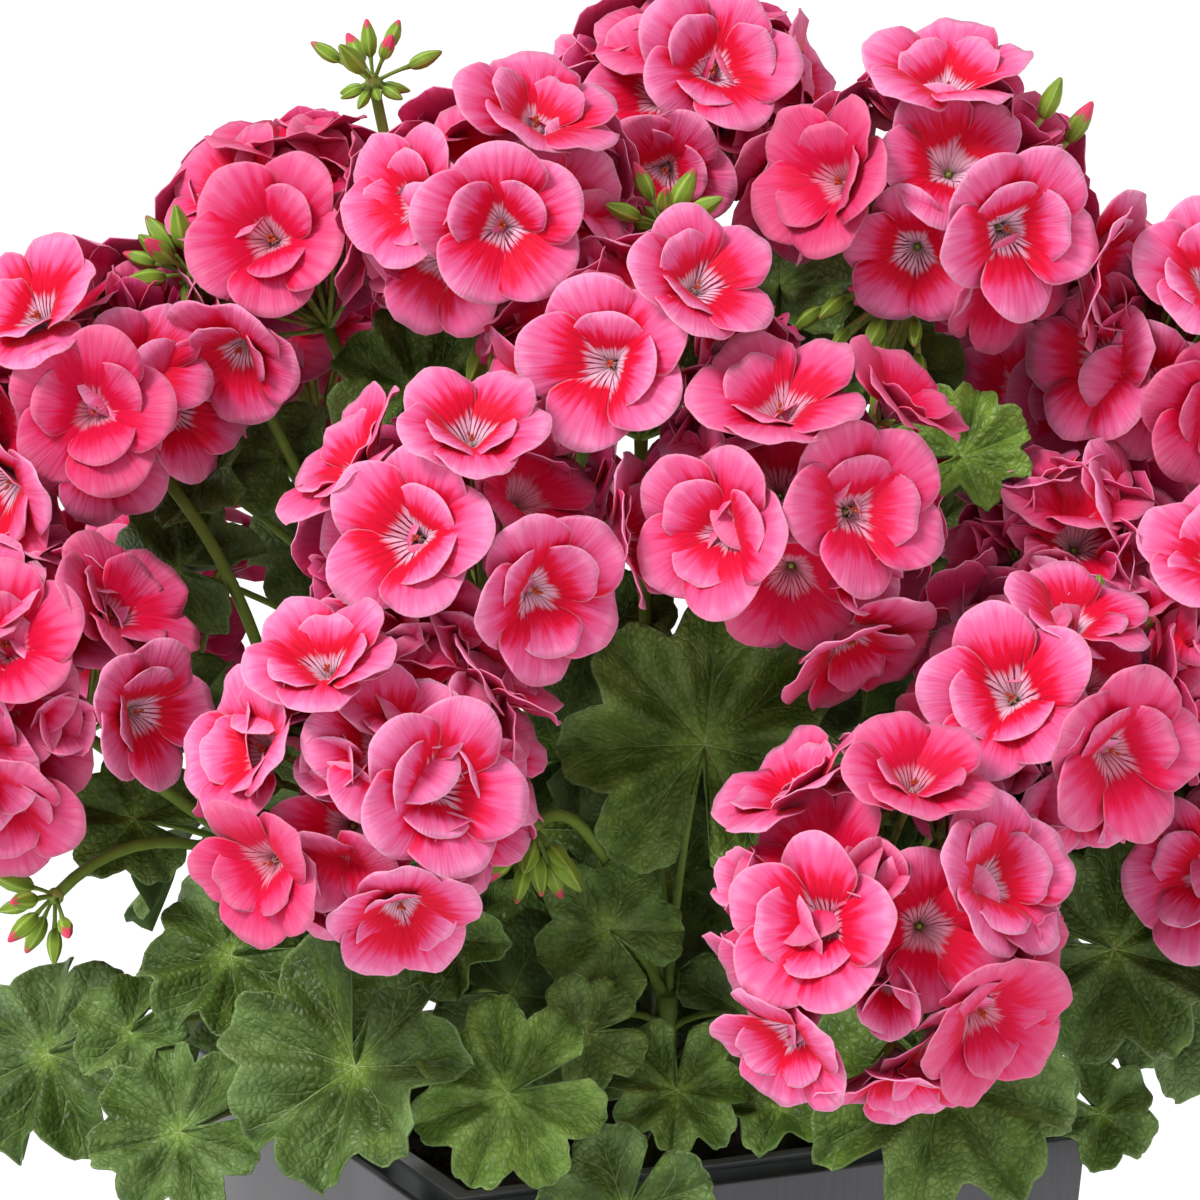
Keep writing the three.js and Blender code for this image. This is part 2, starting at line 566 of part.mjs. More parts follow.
const soilLevel = -soilBelowRim - plantLift;
const stemPaths = stems.map(({ foot, crown }) => {
  const start = new THREE.Vector3(foot[0], foot[1], soilLevel);
  const rise = start.clone().lerp(vector(crown), 0.35).addScaledVector(up, 0.3 * crown[2]);
  return new THREE.QuadraticBezierCurve3(start, rise, vector(crown)).getPoints(stemSteps);
});

// A point inside a stem, from 0 at the soil to 1 at the crown
function onStem(index, share) {
  const step = Math.min(Math.floor(share * stemSteps), stemSteps - 1);
  return stemPaths[index][step].clone().lerp(stemPaths[index][step + 1], share * stemSteps - step);
}

function mainStem(index) {
  const path = stemPaths[index];
  const bottom = path[0].clone().addScaledVector(up, 1 - stemFootDepth);
  const radii = path.map((_, i) => THREE.MathUtils.lerp(stemFootRadius, stemTopRadius, i / stemSteps));
  return tube([bottom, ...path], [stemFootRadius, ...radii], stemSides);
}

// A head looks outwards and up from the middle of the plant
const plantMiddle = new THREE.Vector3(0, 0, 40);
function headAxis({ at }) {
  const out = vector(at).sub(plantMiddle).normalize();
  return out.addScaledVector(up, headTilt).normalize();
}

// A flower stalk leaves its stem's crown and ends straight, in the head's socket
function flowerStalkPath(head, sideways) {
  const axis = headAxis(head);
  const hub = vector(head.at);
  const crown = onStem(head.stem, flowerStalkRoot);
  const straight = hub.clone().addScaledVector(axis, -socketLength);
  const across = axis.clone().cross(up).normalize();
  const span = crown.distanceTo(straight);
  const bend = straight.clone().addScaledVector(axis, -0.4 * span).addScaledVector(across, sideways);
  const curve = new THREE.QuadraticBezierCurve3(crown, bend, straight);
  return [crown, curve.getPoint(0.5), straight, hub];
}

const stalkBends = [0, 10, -10, 20, -20, 30, -30];
const pieces = stems.map((_, index) => [record(stemName(index), mainStem(index))]);

// The first of a list of tries that is clear, or an error that names the piece
function firstClear(tries, isClear, name) {
  const found = tries.find(isClear);
  if (!found) throw new Error(`no clear place for ${name}`);
  return found;
}

heads.forEach((head, mark) => {
  const node = stemName(head.stem);
  const solids = stalkBends.map((sideways) => {
    const path = flowerStalkPath(head, sideways);
    return tube(path, path.map(() => flowerStalkRadius), stalkSides);
  });
  const solid = firstClear(solids, (one) => !crosses(one, node), `the stalk of ${headName(mark)}`);
  pieces[head.stem].push(record(node, solid));
});

// A bud is a three-sided spindle on a short stalk
function budSolid(hub, out, length) {
  const root = hub.clone().addScaledVector(out, budRoot);
  const belly = hub.clone().addScaledVector(out, budBelly * length);
  const tip = hub.clone().addScaledVector(out, length);
  const [low, wide] = tubeRings([root, belly, tip], [budStalkRadius, budRadius, budRadius], 3);
  const faces = [[0, 2, 1]];
  for (let k = 0; k < 3; k += 1) {
    const next = (k + 1) % 3;
    faces.push([k, next, 3 + next], [k, 3 + next, 3 + k], [3 + k, 3 + next, 6]);
  }
  return solidFrom([...low, ...wide, tip], faces);
}

// The stem of a bud cluster, which arches over where the cluster hangs
function budStemPath(cluster) {
  const hub = vector(cluster.at);
  const crown = onStem(cluster.stem, budStemRoot);
  const arch = 0.25 * crown.distanceTo(hub) * (1 - vector(cluster.face).normalize().z);
  const bend = crown.clone().lerp(hub, 0.6).addScaledVector(up, arch);
  return new THREE.QuadraticBezierCurve3(crown, bend, hub).getPoints(3);
}

// One bud stands in the middle of its cluster and the others lean out round it
function clusterBuds(cluster, mark) {
  const hub = vector(cluster.at);
  const face = vector(cluster.face).normalize();
  const place = frameOn(hub, face, aheadOf(face));
  return Array.from({ length: cluster.buds }, (_, k) => {
    const turn = (k * 2 * Math.PI) / (cluster.buds - 1);
    const lean = k === 0 ? 0 : cluster.spread * (0.75 + 0.5 * chance(mark, k));
    const wide = Math.sin(lean);
    const out = place(wide * Math.cos(turn), wide * Math.sin(turn), Math.cos(lean)).sub(hub);
    return budSolid(hub, out, budLength + budLengthSpread * chance(k, mark));
  });
}

budClusters.forEach((cluster, mark) => {
  const path = budStemPath(cluster);
  const stalk = tube(path, path.map(() => budStemRadius), stalkSides);
  const ball = new THREE.OctahedronGeometry(budHubRadius, 0);
  ball.translate(...cluster.at);
  const parts = [solidFromGeometry(ball), ...clusterBuds(cluster, mark)];
  const solid = parts.reduce((whole, part) => whole.add(part), stalk);
  const node = stemName(cluster.stem);
  if (crosses(solid, node)) throw new Error(`bud cluster ${mark} crosses its neighbours`);
  pieces[cluster.stem].push(record(node, solid));
});

// A leaf that would cross a neighbour is tipped or moved a little until it is clear
const leafTips = [[0, 0], ...[0.2, 0.4].flatMap((tip) => [[tip, 0], [-tip, 0], [0, tip], [0, -tip]])];
const leafShifts = [0, 6, -6, 12, -12];

// A leaf's stalk leaves the stem somewhat below the leaf's own height
function leafRoot({ stem, at }) {
  const height = (at[2] - soilLevel) / (stems[stem].crown[2] - soilLevel);
  return onStem(stem, THREE.MathUtils.clamp(0.85 * height, 0.3, 0.97));
}

function leafTry(leaf, mark, shift, [sideways, upwards]) {
  const face = vector(leaf.face).normalize();
  const at = vector(leaf.at);
  const root = leafRoot(leaf);
  at.addScaledVector(at.clone().sub(root).normalize(), shift);
  const right = face.clone().cross(up).normalize();
  face.addScaledVector(right, sideways).addScaledVector(up, upwards).normalize();
  return leafSolid(leaf, mark, at, face, root);
}

leaves.forEach((leaf, mark) => {
  const node = stemName(leaf.stem);
  const tries = leafShifts.flatMap((shift) => leafTips.map((tip) => leafTry(leaf, mark, shift, tip)));
  const isClear = ({ whole, flat }) => !crosses(whole, node) && !crossesAny(flat);
  pieces[leaf.stem].push(record(node, firstClear(tries, isClear, `leaf ${mark}`).whole));
});

// Even directions over a sphere
function spiral(index, count) {
  const height = 1 - (2 * (index + 0.5)) / count;
  const turn = index * Math.PI * (3 - Math.sqrt(5));
  const width = Math.sqrt(1 - height * height);
  return new THREE.Vector3(width * Math.cos(turn), width * Math.sin(turn), height);
}

// The viewer looks down on the plant at a slight angle, from the front
const viewRise = THREE.MathUtils.degToRad(12);
const viewUp = new THREE.Vector3(0, Math.sin(viewRise), Math.cos(viewRise));
const viewer = new THREE.Vector3(0, -Math.cos(viewRise), Math.sin(viewRise));

function seenDirection([right, above], reach) {
  const depth = Math.sqrt(Math.max(reach * reach - right * right - above * above, 0));
  const out = new THREE.Vector3(right, 0, 0).addScaledVector(viewUp, above);
  return out.addScaledVector(viewer, depth).normalize();
}

const coreRadiusOf = ({ reach }) => reach - floretHeight;
const cores = heads.map((head, mark) => {
  const core = new THREE.OctahedronGeometry(coreRadiusOf(head), 0);
  core.translate(...head.at);
  return record(headName(mark), solidFromGeometry(core));
});

// A floret that would cross a neighbour stands out further or is smaller, or else is left out
const floretTries = [[0, 1], [5, 1], [0, 0.88], [5, 0.88], [9, 0.88]];

// The florets of a head: those that face the viewer, then lower ones wherever there is room
function headFlorets(head, mark) {
  const hub = vector(head.at);
  const root = (out) => hub.clone().addScaledVector(out, floretRoot * coreRadiusOf(head));
  const outs = [];
  const solids = [];
  const tryFloret = (out, full) => {
    const turn = 2 * Math.PI * chance(mark, outs.length);
    const reach = full ? head.reach : head.reach - fillerDrop;
    const tries = floretTries.map(([lift, size]) => {
      const at = hub.clone().addScaledVector(out, reach + lift);
      return floretSolid({ at, out, turn, size, full, root: root(out) });
    });
    const isClear = (solid) =>
      !crosses(solid, headName(mark)) && solids.every((other) => other.intersect(solid).isEmpty());
    const solid = tries.find(isClear);
    if (!solid) return;
    outs.push(out);
    solids.push(solid);
  };
  head.florets.forEach((seen) => tryFloret(seenDirection(seen, head.reach), true));
  const axis = headAxis(head);
  const tilt = new THREE.Quaternion().setFromUnitVectors(up, axis);
  for (let i = 0; i < spiralCount; i += 1) {
    const out = spiral(i, spiralCount).applyQuaternion(tilt);
    const hasRoom = outs.every((other) => other.angleTo(out) >= floretSpacing);
    if (hasRoom && out.angleTo(axis) <= headReach) tryFloret(out, false);
  }
  return solids;
}

function headSolid(head, mark) {
  const hub = vector(head.at);
  const axis = headAxis(head);
  const whole = headFlorets(head, mark).reduce((sum, floret) => sum.add(floret), cores[mark]);
  const socketRadius = (flowerStalkRadius + clearance) / Math.cos(Math.PI / stalkSides);
  const mouth = hub.clone().addScaledVector(axis, -socketMouth * coreRadiusOf(head));
  const end = hub.clone().addScaledVector(axis, clearance);
  const socket = tube([mouth, end], [socketRadius, socketRadius], stalkSides);
  return record(headName(mark), whole.subtract(socket));
}

const object = new THREE.Group();
object.add(...potMeshes);

const plant = new THREE.Group();
plant.position.set(plantShift, 0, planterHeight + plantLift).applyAxisAngle(up, plantTurn);
plant.rotation.z = plantTurn;
pieces.forEach((parts, index) => {
  const whole = parts.reduce((sum, solid) => sum.add(solid));
  plant.add(meshFrom(whole, stemName(index), green));
});
heads.forEach((head, mark) => plant.add(meshFrom(headSolid(head, mark), headName(mark), pink)));
object.add(plant);

export default object;
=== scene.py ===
"""A pot geranium in flower: pink heads with a red eye, scalloped leaves, buds, soil and a plastic planter.

The plant is laid out in millimetres in a frame of its own, which counts heights from just above the
planter's rim, is turned about the upright and has its front at -Y. Each finished piece is then put into the
object's frame.
"""

import math

import bmesh
import bpy
import numpy as np
from mathutils import Matrix, Vector, kdtree


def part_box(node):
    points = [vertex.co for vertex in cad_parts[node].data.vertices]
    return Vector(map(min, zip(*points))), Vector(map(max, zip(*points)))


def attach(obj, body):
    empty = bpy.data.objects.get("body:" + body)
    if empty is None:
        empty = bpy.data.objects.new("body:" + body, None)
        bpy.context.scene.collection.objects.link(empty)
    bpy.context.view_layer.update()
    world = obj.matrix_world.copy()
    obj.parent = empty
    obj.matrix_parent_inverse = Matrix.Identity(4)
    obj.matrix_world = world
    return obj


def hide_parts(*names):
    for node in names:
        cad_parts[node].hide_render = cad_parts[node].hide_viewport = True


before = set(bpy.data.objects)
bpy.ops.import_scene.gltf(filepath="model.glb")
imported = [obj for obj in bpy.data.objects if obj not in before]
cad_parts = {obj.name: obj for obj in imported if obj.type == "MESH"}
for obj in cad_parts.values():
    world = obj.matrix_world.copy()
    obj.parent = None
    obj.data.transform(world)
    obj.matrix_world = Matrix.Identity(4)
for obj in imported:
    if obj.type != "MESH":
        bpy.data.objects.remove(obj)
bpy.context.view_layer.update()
bpy.ops.object.select_all(action="DESELECT")

# The frame of the plant, and of the camera that faces it
METRES = 0.001
RIM_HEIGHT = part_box("planter")[1].z
PLANT_TURN = math.radians(-24)
VIEW_RISE = math.radians(12)
PLANT_SHIFT = Vector((0.008, 0, 0.01))
UP = Vector((0, 0, 1))
PLANT_PLACE = (
    Matrix.Translation((0, 0, RIM_HEIGHT))
    @ Matrix.Rotation(PLANT_TURN, 4, "Z")
    @ Matrix.Translation(PLANT_SHIFT)
    @ Matrix.Scale(METRES, 4)
)

# Each stem's foot in the soil and its crown, where its stalks part
STEMS = [
    ((-34, -46), (-62, -84, 52)),
    ((2, -54), (4, -78, 40)),
    ((38, -40), (66, -84, 36)),
    ((58, -8), (94, -30, 62)),
    ((-62, -6), (-100, -24, 56)),
    ((-30, -12), (-44, -22, 122)),
    ((16, -14), (34, -18, 124)),
    ((50, 28), (88, 20, 96)),
    ((-46, 30), (-74, 22, 104)),
    ((-34, 62), (-64, 92, 62)),
    ((22, 64), (52, 96, 62)),
    ((-2, 26), (-4, 40, 128)),
]

# Flower heads: stem, middle, reach of the florets, and the florets that face the viewer, each by its
# place to the right of the middle and above it. The solids leave out those that would cross a neighbour.
HEADS = [
    (2, (62, -150, 80), 40, [(-18, 0), (25, 11), (-22, -26), (21, -20), (-22, 32), (5, 30), (2, -38)]),
    (0, (-75, -140, 114), 38, [(15, 1), (-29, 11), (-22, -15), (26, 27), (6, -26), (-10, 26)]),
    (2, (104, -112, 126), 34, [(-8, 7), (16, -6), (9, -24)]),
    (2, (37, -102, 178), 36, [(-18, -1), (16, 5), (15, -29), (-3, 27), (22, 26)]),
    (0, (-52, -106, 170), 38, [(-12, 6), (19, -8), (-27, -12), (-27, 24), (36, 6), (2, 26)]),
    (1, (-4, -74, 216), 38, [(-32, -10), (-8, 2), (31, 6), (12, 18)]),
    (5, (-43, -44, 252), 36, [(1, -1), (-22, 6), (-27, -14), (10, 27), (25, 18)]),
    (6, (80, -34, 254), 40, [(-28, 8), (-9, 8), (17, -5), (1, 34), (36, -12), (28, -26)]),
    (8, (-100, -6, 236), 38, [(-7, 5), (-8, 25), (16, -12), (15, 18), (-14, -22)]),
    (11, (10, 34, 270), 36, [(7, 13), (-5, -12), (22, -14), (-19, 6)]),
    (4, (-153, -20, 196), 38, [(-3, -1), (28, 5), (-17, 22), (-24, -18), (12, 28)]),
    (4, (-176, -62, 122), 38, [(-3, 14), (24, 22), (-4, -26), (26, -3)]),
    (3, (114, -62, 156), 30, [(-4, 0)]),
    (7, (148, -26, 210), 36, [(8, -12), (-19, 14), (6, 18)]),
    (3, (160, -70, 140), 32, [(-3, 20), (-8, -6), (-2, -24)]),
    (11, (-44, 44, 232), 36, [(-14, 20), (14, 22), (32, 6)]),
    (3, (176, -72, 72), 34, [(-22, 2)]),
    (7, (118, 24, 186), 34, [(3, 4), (-16, 8)]),
    (9, (-108, 74, 190), 36, []),
    (10, (62, 100, 206), 38, []),
    (9, (-48, 146, 134), 38, []),
    (10, (96, 136, 112), 38, []),
    (9, (-150, 66, 116), 36, []),
    (10, (168, 52, 116), 36, []),
]

# Leaves: stem, middle where the stalk joins, size from there to the tip, the way the upper face looks,
# lobes, and how far the leaf is cupped or, below zero, humped
LEAVES = [
    (1, (14, -92, 115), 40, (0.05, -0.9, 0.4), 7, 0.1),
    (1, (-40, -142, 29), 27, (0, -0.95, 0.3), 7, 0.08),
    (0, (-82, -130, 33), 36, (-0.2, -0.8, 0.5), 7, 0.28),
    (1, (-10, -96, 60), 21, (0.1, -0.8, 0.6), 5, 0.1),
    (0, (-56, -122, 67), 18, (-0.3, -0.8, 0.4), 5, 0.2),
    (1, (6, -118, 23), 20, (0.1, -0.8, 0.55), 7, 0.1),
    (2, (35, -112, 16), 17, (0.1, -0.55, 0.8), 5, 0.25),
    (2, (77, -112, 24), 38, (0.1, -0.75, 0.65), 7, -0.12),
    (3, (130, -72, 51), 34, (0.4, -0.8, 0.4), 7, 0.12),
    (3, (146, -40, 94), 22, (0.3, -0.75, 0.55), 5, 0.2),
    (3, (133, -50, 71), 18, (0.2, -0.8, 0.5), 5, 0.1),
    (6, (86, -64, 191), 20, (0.05, -0.75, 0.65), 7, 0.3),
    (6, (37, 12, 226), 25, (0, -0.6, 0.8), 5, 0.1),
    (6, (66, 5, 203), 24, (0, -0.8, 0.5), 5, 0.1),
    (5, (-66, -34, 204), 26, (-0.1, -0.75, 0.65), 7, 0.15),
    (8, (-129, -5, 173), 18, (-0.3, -0.7, 0.6), 5, 0.1),
    (8, (-127, 0, 139), 25, (-0.3, -0.6, 0.7), 7, 0.1),
    (4, (-133, -15, 109), 17, (-0.3, -0.6, 0.7), 5, 0.1),
    (4, (-148, -40, 81), 21, (-0.4, -0.7, 0.5), 5, 0.1),
    (0, (-118, -90, 54), 27, (-0.3, -0.7, 0.6), 7, 0.1),
    (4, (-173, -50, 14), 31, (-0.4, -0.7, 0.45), 7, -0.1),
    (4, (-147, -85, 30), 17, (-0.2, -0.75, 0.6), 5, 0.2),
    (0, (-132, -108, 8), 25, (-0.2, -0.85, 0.4), 7, 0.2),
    (4, (-135, -70, 42), 12, (-0.3, -0.75, 0.55), 5, 0.1),
    (1, (-16, -112, 38), 17, (0, -0.85, 0.4), 5, 0.1),
    (6, (76, -30, 162), 21, (0.2, -0.8, 0.5), 5, 0.1),
    (8, (-108, 4, 178), 19, (-0.3, -0.7, 0.6), 5, 0.1),
    (2, (97, -88, 15), 24, (0.3, -0.8, 0.4), 5, -0.1),
    (3, (150, -30, 22), 26, (0.6, -0.6, 0.45), 5, -0.1),
    (5, (-14, -56, 140), 26, (-0.05, -0.85, 0.5), 5, 0.1),
    (5, (-88, -52, 88), 28, (-0.2, -0.8, 0.55), 5, 0.1),
    (7, (128, 10, 130), 28, (0.6, -0.3, 0.7), 7, 0.1),
    (7, (142, 34, 62), 32, (0.8, 0.1, 0.55), 5, 0.1),
    (3, (120, 4, 22), 30, (0.8, 0, 0.55), 5, -0.1),
    (10, (112, 96, 48), 34, (0.55, 0.6, 0.55), 5, 0.1),
    (10, (70, 140, 40), 34, (0.25, 0.8, 0.5), 5, 0.05),
    (10, (38, 118, 118), 32, (0.1, 0.7, 0.7), 5, 0.1),
    (10, (112, 70, 150), 26, (0.5, 0.5, 0.7), 5, 0.1),
    (9, (10, 128, 62), 32, (0, 0.85, 0.5), 5, 0.1),
    (9, (-62, 130, 34), 34, (-0.2, 0.8, 0.5), 5, 0.05),
    (9, (-112, 92, 40), 34, (-0.6, 0.6, 0.5), 5, 0.1),
    (9, (-30, 104, 176), 28, (-0.1, 0.6, 0.8), 5, 0.1),
    (8, (-138, 40, 54), 30, (-0.85, 0.1, 0.5), 5, 0.1),
    (4, (-128, 10, 16), 28, (-0.8, -0.1, 0.5), 5, -0.1),
    (11, (0, 62, 214), 26, (0, 0.3, 0.95), 5, 0.1),
    (11, (18, 16, 62), 38, (0.1, -0.85, 0.45), 5, 0.1),
    (8, (-34, 8, 66), 36, (-0.1, -0.85, 0.45), 5, 0.1),
    (11, (-50, 20, 136), 28, (-0.1, -0.85, 0.5), 5, 0.1),
    (8, (-92, 30, 148), 28, (-0.3, -0.8, 0.5), 5, 0.1),
    (11, (22, 28, 200), 28, (0.1, -0.8, 0.55), 5, 0.1),
    (7, (62, 10, 100), 34, (0.15, -0.85, 0.45), 5, 0.1),
    (9, (-18, 118, 20), 30, (-0.1, 0.85, 0.5), 5, 0.1),
    (10, (36, 112, 12), 28, (0.15, 0.8, 0.5), 5, -0.1),
    (8, (-120, 60, 10), 28, (-0.75, 0.35, 0.5), 5, -0.1),
    (1, (-8, -140, -6), 25, (0.05, -0.9, 0.35), 5, 0.1),
    (3, (128, -56, -2), 17, (0.3, -0.8, 0.5), 5, 0.1),
]

# How young and light some of the leaves are, by their place in the list above. For the big front leaf (0) the
# lightness is partly painted light, making up for the shade that the heads cast on it.
LEAF_YOUTH_AND_PAINTED_LIGHT = {0: 0.45, 1: 0.55, 2: 0.05, 7: 0.35, 11: 0.85, 19: 0.1, 20: 0, 22: 0.1}

# Clusters of closed buds: stem, middle, the way it points, buds, spread
BUD_CLUSTERS = [
    (5, (-79, -20, 290), (-0.1, 0, 1), 7, 1),
    (8, (-131, -26, 236), (-0.7, -0.2, 0.6), 6, 0.6),
    (5, (3, -60, 255), (0, -0.6, 0.6), 7, 1.1),
    (1, (-33, -120, 98), (0.1, -0.5, -0.8), 7, 0.7),
    (4, (-168, -78, 68), (-0.6, -0.5, -0.5), 7, 0.9),
    (3, (122, -100, 146), (0.2, -0.7, 0.5), 5, 0.8),
]

# Single buds in a head: the head, the way they point, how many, how widely, how far, and how ripe
BUD_SPRAYS = [
    (7, (-0.55, -0.6, -0.6), 10, 0.75, 26, 0.5),
    (7, (0.7, -0.1, 0.68), 2, 0.3, 66, 3),
    (6, (0.05, -0.75, -0.6), 7, 0.6, 22, 0.9),
    (12, (0.45, -0.75, -0.35), 8, 0.6, 30, 0.6),
    (0, (-0.2, -0.75, 0.65), 3, 0.5, 36, 0.9),
]

# Stems and stalks
SOIL_LEVEL = -25
STEM_STEPS = 3
STEM_FOOT_RADIUS = 4.6
STEM_TOP_RADIUS = 3
FLOWER_STALK_RADIUS = 1.9
FLOWER_STALK_ROOT = 0.96
SOCKET_LENGTH = 34
BUD_STEM_RADIUS = 1.5
BUD_STEM_ROOT = 0.9
YOUNG_BUDS = 9
BUD_RADIUS = 2.9
BUD_LENGTH = 13
LEAF_STALK_RADIUS = 1.15
LEAF_STALK_ARCH = 0.2
LEAF_STALK_BACK = 0.12
STALK_BENDS = [0, 10, -10, 20, -20, 30, -30]

# Leaves, as shares of their size
LEAF_THICKNESS = 0.4
LOBE_CUT = 0.84
LOBE_REACH = math.radians(160)
LOBE_SHOULDER = 0.27
CLOSED_REACH = math.radians(172)
BASE_CUT = 0.14
BASE_CORNER = 0.8
LEAF_WAVE = 0.06
LEAF_SWING = 0.1
LEAF_TIPS = [(0, 0)] + [pair for tip in (0.2, 0.4) for pair in ((tip, 0), (-tip, 0), (0, tip), (0, -tip))]
LEAF_SHIFTS = [0, 6, -6, 12, -12]

# Small leaves inside the plant, round each stem
INNER_LEAVES = 4

# Florets
FLORET_RADIUS = 23
FLORET_RISE = 8.5
PETAL_CUT = 0.66
PETAL_CUT_RISE = 3.4
PETAL_HALF_WIDTH = math.radians(29)
THROAT_DEPTH = 4.6
PETAL_THICKNESS = 0.35
SEPAL_THICKNESS = 0.3
OUTER_PETAL_LENGTH = 29
OUTER_PETAL_WIDTH = 27
INNER_PETAL_SIZE = 20
CUP_PETAL_LENGTH = 23
CUP_PETAL_WIDTH = 19
FLORET_SPACING = math.radians(52)
HEAD_REACH = math.radians(93)
HEAD_TILT = 0.3
SPIRAL_COUNT = 44
FILLER_DROP = 7

# Small florets that fill a head: the heads where they stand closest and highest, and the first of those
# at the back of the plant, which have fewest
FILLER_SPOTS = 90
FILLER_REACH = math.radians(104)
DENSE_HEADS = (0, 1, 11)
FIRST_BACK_HEAD = 18

# How far a floret of the solids may be moved out, and how much smaller it may be, by turns
FLORET_TRIES = [(0, 1), (5, 1), (0, 0.88), (5, 0.88), (9, 0.88)]

# How far below a head's middle its stalk parts
UMBEL_DROP = 20

# How near a corner of the solids has to be to a reckoned one, to be that one
MATCH_GAP = 0.4


def chance(first, second):
    """A repeatable number from 0 to 1 for each pair of whole numbers."""
    value = math.sin(first * 12.9898 + second * 78.233) * 43758.5453
    return value - math.floor(value)


def spread(first, second, reach):
    """A repeatable number from -reach to reach."""
    return (2 * chance(first, second) - 1) * reach


def frame_on(at, face, ahead):
    """The frame of a piece that looks along a face: right, ahead and out."""
    out = face.normalized()
    forward = (ahead - ahead.dot(out) * out).normalized()
    right = forward.cross(out)
    return Matrix.Translation(at) @ Matrix((right, forward, out)).transposed().to_4x4()


def ahead_of(out):
    return Vector((0, 1, 0)) if abs(out.z) > 0.95 else UP


def arc(start, bend, end, steps):
    """Points along a curve from start to end, drawn towards the bend."""
    shares = [i / steps for i in range(steps + 1)]
    return [start * (1 - t) ** 2 + bend * (2 * t * (1 - t)) + end * t * t for t in shares]


def smooth(low, high, value):
    share = np.clip((value - low) / (high - low), 0, 1)
    return share * share * (3 - 2 * share)


# Where the solids have their pieces


def corners_of(node):
    """A node's corners in the plant's own frame, in a tree that finds the nearest."""
    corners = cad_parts[node].data.vertices
    tree = kdtree.KDTree(len(corners))
    to_plant = PLANT_PLACE.inverted()
    for corner in corners:
        tree.insert(to_plant @ corner.co, corner.index)
    tree.balance()
    return tree


def is_there(tree, points):
    return all(tree.find(point)[2] < MATCH_GAP for point in points)


def stem_name(index):
    return f"leafy_stem_{index + 1:02d}"


def head_name(index):
    return f"flower_head_{index + 1:02d}"


def stem_path(index, steps):
    (x, y), crown = STEMS[index]
    start = Vector((x, y, SOIL_LEVEL))
    crown = Vector(crown)
    bend = start.lerp(crown, 0.35) + 0.3 * crown.z * UP
    return arc(start, bend, crown, steps)


def on_stem(index, share):
    """A point inside a stem, from 0 at the soil to 1 at the crown."""
    path = stem_path(index, STEM_STEPS)
    step = min(int(share * STEM_STEPS), STEM_STEPS - 1)
    return path[step].lerp(path[step + 1], share * STEM_STEPS - step)


def head_axis(at):
    """A head looks outwards and up from the middle of the plant."""
    out = (at - Vector((0, 0, 40))).normalized()
    return (out + HEAD_TILT * UP).normalized()


def flower_stalk(head, sideways, steps):
    """A flower stalk's curve from its stem's crown, and the straight end in the head."""
    stem, at, _, _ = head
    hub = Vector(at)
    axis = head_axis(hub)
    crown = on_stem(stem, FLOWER_STALK_ROOT)
    straight = hub - SOCKET_LENGTH * axis
    across = axis.cross(UP).normalized()
    bend = straight - 0.4 * (straight - crown).length * axis + sideways * across
    return [*arc(crown, bend, straight, steps), hub - UMBEL_DROP * axis]


def kept_flower_stalk(head, tree):
    """The bend that the solid's stalk took, known by the ring of corners round the middle of its path."""
    for sideways in STALK_BENDS:
        middle = flower_stalk(head, sideways, 2)[1]
        ring = [far for _, _, far in tree.find_range(middle, 1.1 * FLOWER_STALK_RADIUS)]
        if len([far for far in ring if far > 0.9 * FLOWER_STALK_RADIUS]) >= 4:
            return sideways
    return 0


def leaf_rise(leaf, angle, reach, mark):
    _, _, _, _, lobes, cup = leaf
    phase = (angle + LOBE_REACH) / (2 * LOBE_REACH) * lobes * 2 * math.pi
    swing = LEAF_SWING * np.sin(2 * angle + 6 * chance(mark, 7))
    return reach * reach * (cup + LEAF_WAVE * np.cos(phase) + swing)


def leaf_root(leaf):
    stem, at = leaf[:2]
    height = (at[2] - SOIL_LEVEL) / (STEMS[stem][1][2] - SOIL_LEVEL)
    return on_stem(stem, min(max(0.85 * height, 0.3), 0.97))


def leaf_place(leaf, shift, tip):
    _, at, _, face, _, _ = leaf
    root = leaf_root(leaf)
    face = Vector(face).normalized()
    at = Vector(at)
    at += (at - root).normalized() * shift
    right = face.cross(UP).normalized()
    face = (face + tip[0] * right + tip[1] * UP).normalized()
    return frame_on(at, face, at - root)


def kept_leaf_place(leaf, mark, tree):
    """The place that the solid's leaf took, known by the shoulders of its lobes."""
    _, _, size, _, lobes, _ = leaf
    step = 2 * LOBE_REACH / lobes
    angles = [-LOBE_REACH + (k + 0.5 - LOBE_SHOULDER) * step for k in range(lobes)]
    shoulders = [
        Vector((-size * math.sin(a), size * math.cos(a), size * leaf_rise(leaf, a, 1, mark))) for a in angles
    ]
    for shift in LEAF_SHIFTS:
        for tip in LEAF_TIPS:
            place = leaf_place(leaf, shift, tip)
            if is_there(tree, [place @ point for point in shoulders]):
                return place
    return leaf_place(leaf, 0, (0, 0))


def spiral(index, count):
    """Even directions over a sphere."""
    height = 1 - 2 * (index + 0.5) / count
    turn = index * math.pi * (3 - math.sqrt(5))
    width = math.sqrt(1 - height * height)
    return Vector((width * math.cos(turn), width * math.sin(turn), height))


def seen_direction(seen, reach):
    """The way out to a floret that the viewer sees at a place in front of its head."""
    right, above = seen
    view_up = Vector((0, math.sin(VIEW_RISE), math.cos(VIEW_RISE)))
    viewer = Vector((0, -math.cos(VIEW_RISE), math.sin(VIEW_RISE)))
    depth = math.sqrt(max(reach * reach - right * right - above * above, 0))
    return (Vector((right, 0, 0)) + above * view_up + depth * viewer).normalized()


